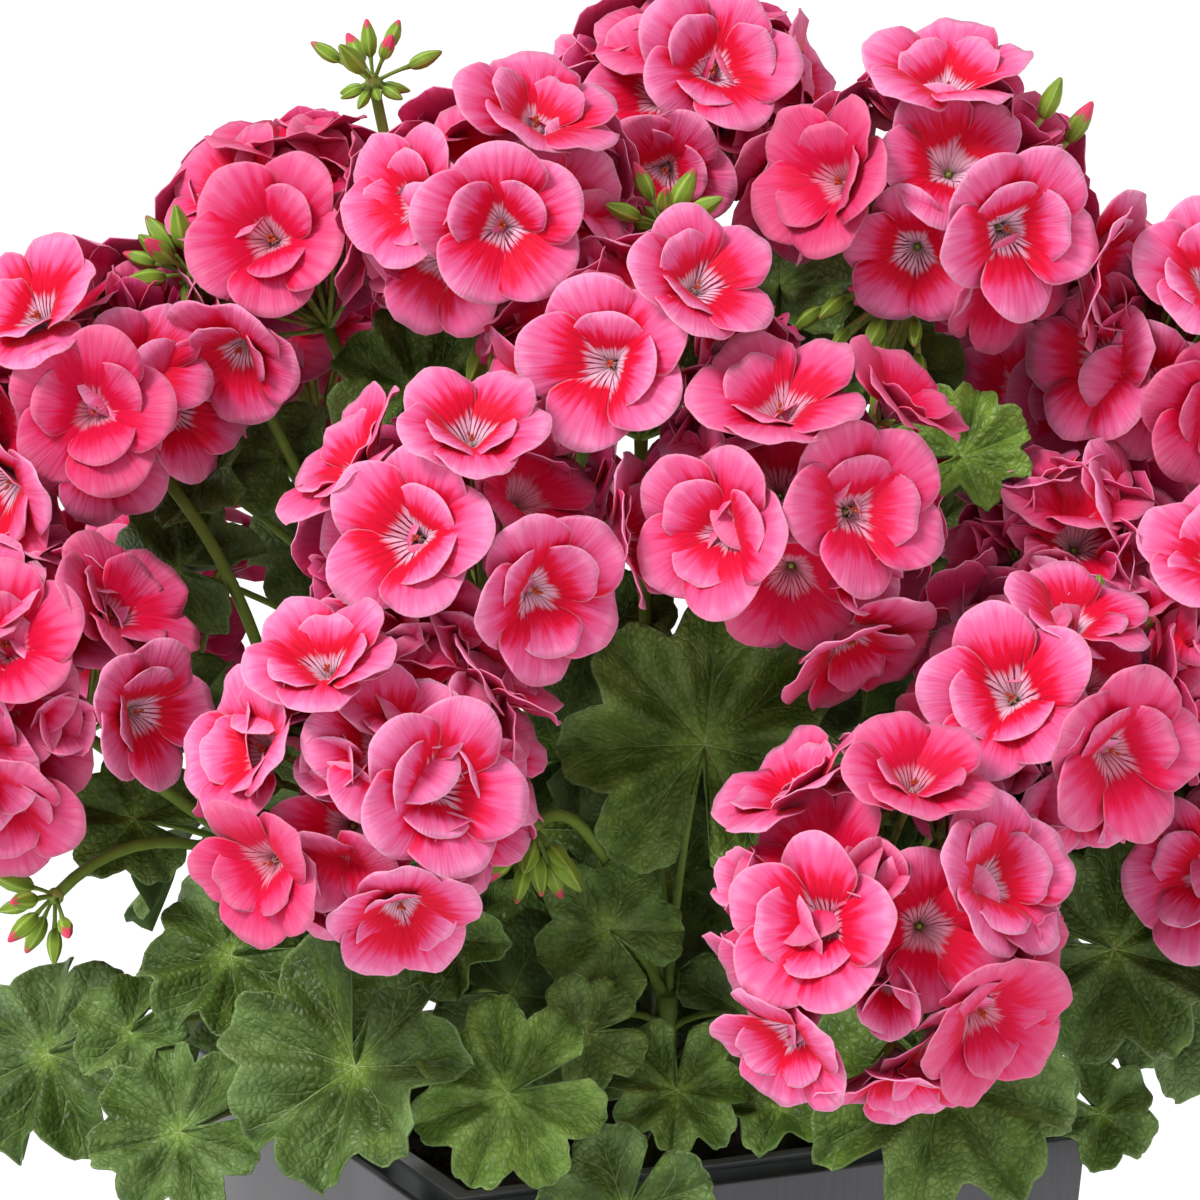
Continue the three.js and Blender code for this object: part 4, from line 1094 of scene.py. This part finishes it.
def cluster_pieces(cluster, mark, bud):
    """The stem of a cluster, and its buds, each on a thin stalk out of one hub."""
    stem, at, face, count, wide = cluster
    hub = Vector(at)
    face = Vector(face).normalized()
    crown = on_stem(stem, BUD_STEM_ROOT)
    lift = 0.25 * (hub - crown).length * (1 - face.z)
    paths = [(arc(crown, crown.lerp(hub, 0.6) + lift * UP, hub, 12), [1.15 * BUD_STEM_RADIUS] * 13)]
    place = frame_on(hub, face, ahead_of(face)).to_3x3()
    buds = []
    for k in range(count):
        turn = k * 2 * math.pi / (count - 1)
        lean = 0 if k == 0 else wide * (0.75 + 0.5 * chance(mark, k))
        out = place @ Vector((math.sin(lean) * math.cos(turn), math.sin(lean) * math.sin(turn), math.cos(lean)))
        length = 18 + 5 * chance(k, mark)
        size = 0.75 + 0.4 * chance(k, mark + 20)
        foot = hub + (length - (BUD_LENGTH - 0.5) * size) * out
        paths.append((arc(hub, hub.lerp(foot, 0.5) + 0.8 * UP, foot + 0.6 * out, 4), [0.9, 0.65, 0.6, 0.65, 0.9]))
        frame_here = frame_on(foot, out, ahead_of(out)) @ Matrix.Scale(size, 4)
        buds.append(twin(bud, frame_here, shade=chance(k, mark + 40)))
    for k in range(YOUNG_BUDS if face.z > 0 else 0):
        turn = k * 2 * math.pi / YOUNG_BUDS
        lean = 1.75 + 0.5 * chance(mark, k + 60)
        out = place @ Vector((math.sin(lean) * math.cos(turn), math.sin(lean) * math.sin(turn), math.cos(lean)))
        size = 0.5 + 0.2 * chance(mark, k + 70)
        foot = hub + 3.5 * out
        paths.append((arc(hub, hub.lerp(foot, 0.5) + UP, foot + 0.6 * out, 3), [0.8, 0.6, 0.6, 0.8]))
        frame_here = frame_on(foot, out, ahead_of(out)) @ Matrix.Scale(size, 4)
        buds.append(twin(bud, frame_here, shade=0.0))
    bpy.ops.mesh.primitive_ico_sphere_add(subdivisions=2, radius=2.6, location=hub)
    knob = active()
    knob.data.transform(knob.matrix_basis)
    knob.matrix_basis.identity()
    knob.data.materials.append(SEPAL)
    return paths, [knob, *buds]


# The leafy stems


def inner_leaf(index, mark):
    """One of the small leaves that fill the inside of the plant, round a stem."""
    share = 0.45 + 0.5 * mark / INNER_LEAVES
    turn = 2.4 * mark + 6 * chance(index, 5)
    out = Vector((math.cos(turn), math.sin(turn), 0))
    size = 19 + 6 * chance(index, mark + 7)
    at = on_stem(index, share) + (20 + 10 * chance(index, mark + 17)) * out + 14 * UP
    face = 0.5 * out + Vector((0, -0.7, 0.5))
    leaf = (index, tuple(at), size, tuple(face), 5, 0.1)
    return leaf, leaf_place(leaf, 0, (0, 0))


def leafy_stem(index, bud):
    """A stem with all that grows on it but its flower heads, as one piece."""
    tree = corners_of(stem_name(index))
    path = stem_path(index, 12)
    foot = path[0] - 4 * UP
    radii = [STEM_FOOT_RADIUS + (STEM_TOP_RADIUS - STEM_FOOT_RADIUS) * i / 12 for i in range(13)]
    paths = [([foot, *path], [STEM_FOOT_RADIUS, *radii])]
    parts = []
    for head in HEADS:
        if head[0] == index:
            stalk = flower_stalk(head, kept_flower_stalk(head, tree), 14)
            paths.append((stalk, [1.1 * FLOWER_STALK_RADIUS] * 3 + [FLOWER_STALK_RADIUS] * 13))
    for mark, leaf in enumerate(LEAVES):
        if leaf[0] == index:
            place = kept_leaf_place(leaf, mark, tree)
            # The big front leaf's value is partly painted light.
            youth_and_painted_light = LEAF_YOUTH_AND_PAINTED_LIGHT.get(mark, 0.3 * chance(mark, 9) + (0.2 if leaf[2] < 22 else 0))
            parts.append(leaf_blade(leaf, mark, place, youth_and_painted_light))
            paths.append(leaf_stalk(leaf, place))
    for mark in range(INNER_LEAVES):
        leaf, place = inner_leaf(index, mark)
        parts.append(leaf_blade(leaf, mark, place, 0.3 * chance(mark, index), 6, 5))
        paths.append(leaf_stalk(leaf, place))
    for mark, cluster in enumerate(BUD_CLUSTERS):
        if cluster[0] == index:
            stalks, buds = cluster_pieces(cluster, mark, bud)
            paths += stalks
            parts += buds
    parts.insert(0, add_stalks(paths, STALK))
    return join(f"stem_{index + 1:02d}_greenery", parts)


# The florets


def petal_profile(length, foot_slope, tip_slope):
    """How far out and up a petal's middle line is at shares along it, as its slope eases off."""
    shares = np.linspace(0, 1, 41)
    slope = tip_slope + (foot_slope - tip_slope) * (1 - shares) ** 1.5
    step = length / 40
    out = np.concatenate([[0], np.cumsum(np.cos(slope[:-1]) * step)])
    rise = np.concatenate([[0], np.cumsum(np.sin(slope[:-1]) * step)])
    return shares, out, rise


def petal(grid, length, width, slopes, roll, cupped, angle, seed, upper):
    """A broad round petal on a narrow foot, lying on the floret's bowl at an angle round it."""
    sheet, across, along = add_sheet(grid, grid)
    u, v = 2 * across - 1, 2 * along - 1
    disc_x = u * np.sqrt(1 - v * v / 2)
    disc_y = v * np.sqrt(1 - u * u / 2)
    share = (disc_y + 1) / 2
    taper = 0.2 + 0.8 * smooth(0, 0.62, share)
    side = disc_x * taper * width / 2
    shares, out, rise = petal_profile(length, *slopes)
    radius = 0.8 + np.interp(share, shares, out)
    height = np.interp(share, shares, rise) - THROAT_DEPTH
    edge = np.hypot(disc_x, disc_y)
    curl = cupped * (2 * side / width) ** 2 * share
    frill = 0.7 * np.sin(5 * np.arctan2(disc_y, disc_x) + 6 * chance(seed, 1)) * edge ** 4
    frill += 0.4 * np.sin(9 * np.arctan2(disc_y, disc_x) + 6 * chance(seed, 2)) * edge ** 6
    height = height + curl + frill * smooth(0.3, 0.7, share) + side * math.tan(roll) * smooth(0.1, 0.5, share)
    points = np.stack([side, radius, height], axis=1)
    set_positions(sheet, points)
    fan = 0.5 + np.arctan2(side, radius + 2) / 2.4
    set_pattern(sheet, np.stack([fan, share], axis=1))
    set_value(sheet, "edge", edge)
    set_value(sheet, "upper", upper)
    thicken(sheet, PETAL_THICKNESS, [PETAL_FACE, PETAL_BACK])
    return moved(sheet, Matrix.Rotation(angle, 4, "Z"))


def stamens(count, seed):
    """The short stamens in a floret's throat, each a thread with an anther on it."""
    parts = []
    for k in range(count):
        angle = k * 2 * math.pi / count + chance(seed, k)
        lean = 0.25 + 0.25 * chance(seed, k + 10)
        tilt = Matrix.Rotation(angle, 4, "Z") @ Matrix.Rotation(lean, 4, "X")
        length = 5 + 2.5 * chance(seed, k + 20)
        bpy.ops.mesh.primitive_cone_add(vertices=3, radius1=0.3, radius2=0.22, depth=length)
        thread = moved(active(), Matrix.Translation((0, 0, length / 2 - THROAT_DEPTH)))
        thread.data.materials.append(FILAMENT)
        bpy.ops.mesh.primitive_ico_sphere_add(subdivisions=1, radius=0.7)
        shape = Matrix.Translation((0, 0, length - THROAT_DEPTH)) @ Matrix.Diagonal((0.8, 0.8, 1.5, 1))
        anther = moved(active(), shape)
        anther.data.materials.append(ANTHER)
        parts += [moved(thread, tilt), moved(anther, tilt)]
    return parts


def open_floret(name, seed, grid, inner, threads):
    """An open floret that looks up, with five outer petals and a few inner ones."""
    parts = []
    for k in range(5):
        angle = k * 2 * math.pi / 5 + spread(seed, k, 0.07)
        length = OUTER_PETAL_LENGTH * (1 + spread(seed, k + 10, 0.05))
        width = OUTER_PETAL_WIDTH * (1 + spread(seed, k + 20, 0.07))
        slopes = (math.radians(66 + spread(seed, k + 30, 5)), math.radians(4 + spread(seed, k + 40, 9)))
        roll = math.radians(9 + spread(seed, k + 50, 4))
        upper = 1.0 if k in (0, 1, 4) else 0.45
        cupped = spread(seed, k + 60, 1.6) - 0.6
        parts.append(petal(grid, length, width, slopes, roll, cupped, angle, seed + k, upper))
    for k in range(inner):
        angle = math.radians(84 + 120 * k) + spread(seed, k + 70, 0.2)
        length = INNER_PETAL_SIZE * (1 + spread(seed, k + 80, 0.12))
        width = INNER_PETAL_SIZE * (1 + spread(seed, k + 90, 0.1))
        slopes = (math.radians(68), math.radians(24 + spread(seed, k + 100, 14)))
        roll = math.radians(spread(seed, k + 110, 8))
        piece = petal(grid - 1, length, width, slopes, roll, 1.5, angle, seed + 9 + k, 0.6)
        parts.append(moved(piece, Matrix.Translation((0, 0, 1.4))))
    parts += stamens(threads, seed)
    return join(name, parts)


def half_open_floret(name, seed, grid):
    """A floret that is still a cup, with its petals' backs outward."""
    parts = []
    for k in range(5):
        angle = k * 2 * math.pi / 5 + spread(seed, k, 0.1)
        slopes = (math.radians(84), math.radians(58 + spread(seed, k + 10, 9)))
        roll = math.radians(14)
        parts.append(petal(grid, CUP_PETAL_LENGTH, CUP_PETAL_WIDTH, slopes, roll, 4.0, angle, seed + k, 0.6))
    return join(name, parts)


def sepals(name):
    """The green cup under a floret: a swollen foot and five narrow sepals bent outwards."""
    parts = []
    for k in range(5):
        sheet, across, along = add_sheet(1, 3)
        width = 3.2 * np.sin(math.pi * np.clip(along * 0.9 + 0.1, 0, 1)) ** 0.7
        side = (across - 0.5) * width
        radius = 0.9 + 5.2 * along ** 1.4
        height = -5.5 + 6.5 * along - 1.2 * along ** 3
        points = np.stack([side, radius, height - 0.5 * side * side], axis=1)
        set_positions(sheet, points)
        set_pattern(sheet, np.stack([across, along], axis=1))
        thicken(sheet, SEPAL_THICKNESS, [SEPAL, SEPAL])
        parts.append(moved(sheet, Matrix.Rotation((k + 0.5) * 2 * math.pi / 5, 4, "Z")))
    bpy.ops.mesh.primitive_uv_sphere_add(segments=5, ring_count=4, radius=1)
    foot = moved(active(), Matrix.Translation((0, 0, -5.2)) @ Matrix.Diagonal((1.3, 1.3, 2.6, 1)))
    foot.data.materials.append(SEPAL)
    parts.append(foot)
    cup = join(name, parts)
    bpy.ops.object.shade_smooth()
    return cup


# The flower heads


def filler_spots(head, kept, spacing):
    """Ways out between a head's florets, for the smaller ones that fill it."""
    _, at, _, _ = head
    axis = head_axis(Vector(at))
    tilt = UP.rotation_difference(axis)
    taken = [floret[0] for floret in kept]
    spots = []
    for i in range(FILLER_SPOTS):
        out = tilt @ spiral(i, FILLER_SPOTS)
        if out.angle(axis) > FILLER_REACH:
            continue
        if all(out.angle(other) > spacing for other in taken):
            spots.append(out)
            taken.append(out)
    return spots


def flower_head(index, head, templates):
    """A head: its florets as one piece, and the green that carries them as another."""
    _, at, reach, _ = head
    hub = Vector(at)
    tree = corners_of(head_name(index))
    kept = kept_florets(head, index, tree)
    blooms, cups, paths = [], [], []

    umbel = hub - UMBEL_DROP * head_axis(hub)

    def add_pedicel(foot, out):
        bend = umbel.lerp(foot, 0.5) + 3 * out
        paths.append((arc(umbel, bend, foot, 5), [1.1, 0.85, 0.75, 0.75, 0.8, 1.1]))

    for k, (out, place, turn, size, full) in enumerate(kept):
        kinds = templates["full"] if full else templates["single"]
        kind = kinds[int(chance(index, k + 5) * len(kinds))]
        here = place @ Matrix.Rotation(turn, 4, "Z") @ Matrix.Scale(size, 4)
        blooms.append(twin(kind, here, shade=chance(index + 3, k)))
        cups.append(twin(templates["sepals"], here))
        add_pedicel(here @ Vector((0, 0, -7)), out)
    dense = index in DENSE_HEADS
    spacing = math.radians(21 if dense else 30 if index >= FIRST_BACK_HEAD else 26)
    for k, out in enumerate(filler_spots(head, kept, spacing)):
        far = reach - (7 if dense else 10) + spread(index, k + 30, 3)
        place = frame_on(hub + far * out, out, ahead_of(out))
        size = (0.94 if dense else 0.86) + spread(index, k + 60, 0.08)
        here = place @ Matrix.Rotation(6 * chance(index, k + 90), 4, "Z") @ Matrix.Scale(size, 4)
        kind = templates["cup"] if chance(index, k + 120) < 0.3 else templates["filler"]
        # The fillers, set deeper in the head, get higher values, and so more of the deeper crimson that partly
        # paints their shade.
        blooms.append(twin(kind, here, shade=0.3 + 0.7 * chance(index + 3, k + 40)))
        cups.append(twin(templates["sepals"], here))
        add_pedicel(here @ Vector((0, 0, -7)), out)
    for mark, spray in enumerate(BUD_SPRAYS):
        if spray[0] == index:
            stalks, buds = spray_pieces(umbel, spray, mark + 60, templates["bud"])
            paths += stalks
            cups += buds
    bloom = join(f"head_{index + 1:02d}_florets", blooms)
    finish_piece(bloom, "petals", head_name(index))
    green = join(f"head_{index + 1:02d}_stalks", [add_stalks(paths, SEPAL), *cups])
    finish_piece(green, "foliage", head_name(index))


# The planter, its liner and the soil


def rounded_box(name, side, lean_side, low, high, corner):
    """A block, narrower below, on whose upright corners the bevel has no effect, so that they stay sharp.

    The real corners are rounded, as the solids' are. Letting go of the level edges also lets go of the
    points that the upright ones share with them, so the bevel finds nothing selected.
    """
    bpy.ops.mesh.primitive_cube_add(size=1)
    block = active()
    block.name = name
    points = positions(block)
    wide = np.where(points[:, 2] > 0, side, lean_side)
    points[:, 0] *= wide
    points[:, 1] *= wide
    points[:, 2] = np.where(points[:, 2] > 0, high, low)
    set_positions(block, points)
    bpy.ops.object.mode_set(mode="EDIT")
    shape = bmesh.from_edit_mesh(block.data)
    bpy.ops.mesh.select_all(action="DESELECT")
    for edge in shape.edges:
        first, second = edge.verts
        edge.select = abs(first.co.z - second.co.z) > 0.5 * (high - low)
    bmesh.update_edit_mesh(block.data)
    bpy.ops.mesh.bevel(offset=corner, offset_type="OFFSET", segments=12)
    bpy.ops.object.mode_set(mode="OBJECT")
    return block


def select_level(block, height, gap=0.0005):
    """Selects the faces that lie flat at a height."""
    shape = bmesh.from_edit_mesh(block.data)
    bpy.ops.mesh.select_all(action="DESELECT")
    for face in shape.faces:
        face.select = all(abs(corner.co.z - height) < gap for corner in face.verts)
    shape.select_flush_mode()
    bmesh.update_edit_mesh(block.data)


def finish_pot(block, material, slot, width, node):
    """Softens a pot's edges and gives it its finish."""
    bevel = block.modifiers.new("edges", "BEVEL")
    bevel.width = width
    bevel.segments = 3
    bevel.limit_method = "ANGLE"
    bevel.angle_limit = math.radians(50)
    select_only(block)
    bpy.ops.object.modifier_apply(modifier=bevel.name)
    bpy.ops.object.shade_smooth_by_angle(angle=math.radians(40))
    block.data.materials.append(material)
    seat_piece(block, slot, node)


WALL_LEAN = math.radians(4)


def planter():
    """The outer planter: a leaning square with a thin wall."""
    low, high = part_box("planter")
    side = high.x - low.x
    foot_side = side - 2 * high.z * math.tan(WALL_LEAN)
    wall, floor = 0.0026, 0.003
    pot = rounded_box("planter_shell", side, foot_side, 0, high.z, 0.028)
    bpy.ops.object.mode_set(mode="EDIT")
    select_level(pot, high.z)
    bpy.ops.mesh.inset(thickness=wall)
    depth = high.z - floor
    bpy.ops.mesh.extrude_region_move(TRANSFORM_OT_translate={"value": (0, 0, -depth)})
    shrink = (foot_side - 2 * wall) / (side - 2 * wall)
    bpy.ops.transform.resize(value=(shrink, shrink, 1), center_override=(0, 0, 0))
    bpy.ops.object.mode_set(mode="OBJECT")
    finish_pot(pot, brushed_planter_plastic(), "planter", 0.0007, "planter")


def liner():
    """The inner pot, whose lip stands just above the planter's rim."""
    low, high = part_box("liner")
    lip_side = high.x - low.x
    lip, wall, lip_height = 0.006, 0.002, 0.003
    body_side = lip_side - 2 * (lip - wall)
    depth = high.z - lip_height - low.z
    foot_side = body_side - 2 * depth * math.tan(WALL_LEAN)
    pot = rounded_box("liner_shell", body_side, foot_side, low.z, high.z - lip_height, 0.02)
    bpy.ops.object.mode_set(mode="EDIT")
    select_level(pot, high.z - lip_height)
    bpy.ops.mesh.inset(thickness=0.0001)
    bpy.ops.mesh.select_all(action="DESELECT")
    select_level(pot, high.z - lip_height)
    bpy.ops.mesh.extrude_region_move(TRANSFORM_OT_translate={"value": (0, 0, lip_height)})
    bpy.ops.object.mode_set(mode="OBJECT")
    points = positions(pot)
    above = points[:, 2] > high.z - 0.5 * lip_height
    points[above, :2] *= lip_side / body_side
    set_positions(pot, points)
    bpy.ops.object.mode_set(mode="EDIT")
    select_level(pot, high.z)
    bpy.ops.mesh.inset(thickness=lip)
    bpy.ops.mesh.extrude_region_move(TRANSFORM_OT_translate={"value": (0, 0, low.z + wall - high.z)})
    shrink = (foot_side - 2 * wall) / (body_side - 2 * wall)
    bpy.ops.transform.resize(value=(shrink, shrink, 1), center_override=(0, 0, 0))
    bpy.ops.object.mode_set(mode="OBJECT")
    finish_pot(pot, liner_plastic(), "liner", 0.0005, "liner")


CRUMBS = 260


def soil():
    """The top layer of the potting mix: uneven, with crumbs and chips of bark lying on it."""
    low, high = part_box("soil")
    side = high.x - low.x
    bed, across, along = add_sheet(52, 52)
    x, y = (across - 0.5) * 2, (along - 0.5) * 2
    out = np.maximum(np.abs(x), np.abs(y))
    corner = np.hypot(x, y)
    shrink = np.where(corner > 0, np.minimum(1, 1.22 * out / np.maximum(corner, 1e-6)), 1)
    half = 0.5 * side - 0.0008
    mound = high.z - 0.005 * smooth(0.55, 1.0, out)
    rough = np.zeros_like(x)
    for k, (size, depth) in enumerate(((7, 1.0), (17, 0.7), (41, 0.5))):
        rough += depth * np.sin(size * x + 3 * k + 2 * np.sin(0.7 * size * y)) * np.sin(size * y + 5 * k)
    points = np.stack([x * half * shrink, y * half * shrink, mound + 0.0009 * rough - 0.001], axis=1)
    set_positions(bed, points)
    bpy.ops.object.shade_smooth()
    mix = potting_soil()
    bed.data.materials.append(mix)
    solid = bed.modifiers.new("depth", "SOLIDIFY")
    solid.thickness = 0.02
    solid.offset = -1
    select_only(bed)
    bpy.ops.object.modifier_apply(modifier=solid.name)
    bpy.ops.mesh.primitive_ico_sphere_add(subdivisions=1, radius=1)
    crumb = active()
    crumb.data.materials.append(mix)
    crumbs = [bed]
    for k in range(CRUMBS):
        size = 0.0012 + 0.0026 * chance(k, 5) ** 2
        place = Matrix.Translation((
            spread(k, 1, 0.9) * half * 0.92,
            spread(k, 2, 0.9) * half * 0.92,
            high.z - 0.001 + 0.001 * chance(k, 3),
        ))
        turn = Matrix.Rotation(6 * chance(k, 4), 4, "Z") @ Matrix.Rotation(6 * chance(k, 6), 4, "X")
        shape = Matrix.Diagonal((size, size * (0.5 + 0.5 * chance(k, 7)), size * 0.5, 1))
        crumbs.append(twin(crumb, place @ turn @ shape))
    bpy.data.objects.remove(crumb)
    bed = join("potting_mix", crumbs)
    seat_piece(bed, "soil", "soil")


# The whole plant

planter()
liner()
soil()

bud = bud_template()
for index in range(len(STEMS)):
    finish_piece(leafy_stem(index, bud), "foliage", stem_name(index))

templates = {
    "full": [open_floret(f"full_{k}", 10 * k + 3, 9, 3 if k % 2 else 2, 7) for k in range(4)],
    "single": [open_floret(f"single_{k}", 10 * k + 7, 7, 1, 4) for k in range(3)],
    "filler": open_floret("filler", 91, 5, 0, 0),
    "cup": half_open_floret("cup", 95, 5),
    "sepals": sepals("sepals"),
    "bud": bud,
}
for index, head in enumerate(HEADS):
    flower_head(index, head, templates)
for kind in templates.values():
    for template in kind if isinstance(kind, list) else [kind]:
        bpy.data.objects.remove(template)


# Floor, light and camera


def pale_floor():
    bpy.ops.mesh.primitive_plane_add(size=24)
    floor = active()
    floor.name = "pale_floor"
    material, shader = new_material("pale_floor", Roughness=0.9)
    shader.inputs["Base Color"].default_value = linear("#FDFDFD")
    floor.data.materials.append(material)


CAMERA_DISTANCE = 2.0
CAMERA_LENS = 207
AIM_LEFT = -0.015
AIM_ABOVE_RIM = 0.1365
ROOM_BRIGHTNESS = 0.6
SUN_BRIGHTNESS = 2.5
SUN_ANGLE = math.radians(18)


def studio():
    """A pale room and one large soft light from the upper left."""
    world = bpy.data.worlds.new("studio")
    world.use_nodes = True
    background = world.node_tree.nodes["Background"]
    background.inputs["Color"].default_value = linear("#FFFFFF")
    background.inputs["Strength"].default_value = ROOM_BRIGHTNESS
    bpy.context.scene.world = world
    light = bpy.data.lights.new("soft_key", "SUN")
    light.energy = SUN_BRIGHTNESS
    light.angle = SUN_ANGLE
    lamp = bpy.data.objects.new("soft_key", light)
    bpy.context.scene.collection.objects.link(lamp)
    towards = Matrix.Rotation(PLANT_TURN, 3, "Z") @ Vector((-0.85, -0.75, 1.25))
    lamp.rotation_euler = towards.to_track_quat("Z", "Y").to_euler()


def photo_camera():
    """The camera stands two metres from the plant, to its front and a little above."""
    data = bpy.data.cameras.new("camera")
    data.lens = CAMERA_LENS
    data.sensor_width = 36
    camera = bpy.data.objects.new("camera", data)
    bpy.context.scene.collection.objects.link(camera)
    aim = Matrix.Rotation(PLANT_TURN, 3, "Z") @ (Vector((AIM_LEFT, 0, RIM_HEIGHT + AIM_ABOVE_RIM)) + PLANT_SHIFT)
    back = Vector((
        math.sin(PLANT_TURN) * math.cos(VIEW_RISE),
        -math.cos(PLANT_TURN) * math.cos(VIEW_RISE),
        math.sin(VIEW_RISE),
    ))
    camera.location = aim + CAMERA_DISTANCE * back
    camera.rotation_euler = back.to_track_quat("Z", "Y").to_euler()
    bpy.context.scene.camera = camera


pale_floor()
studio()
photo_camera()
bpy.context.scene.view_settings.view_transform = "Standard"
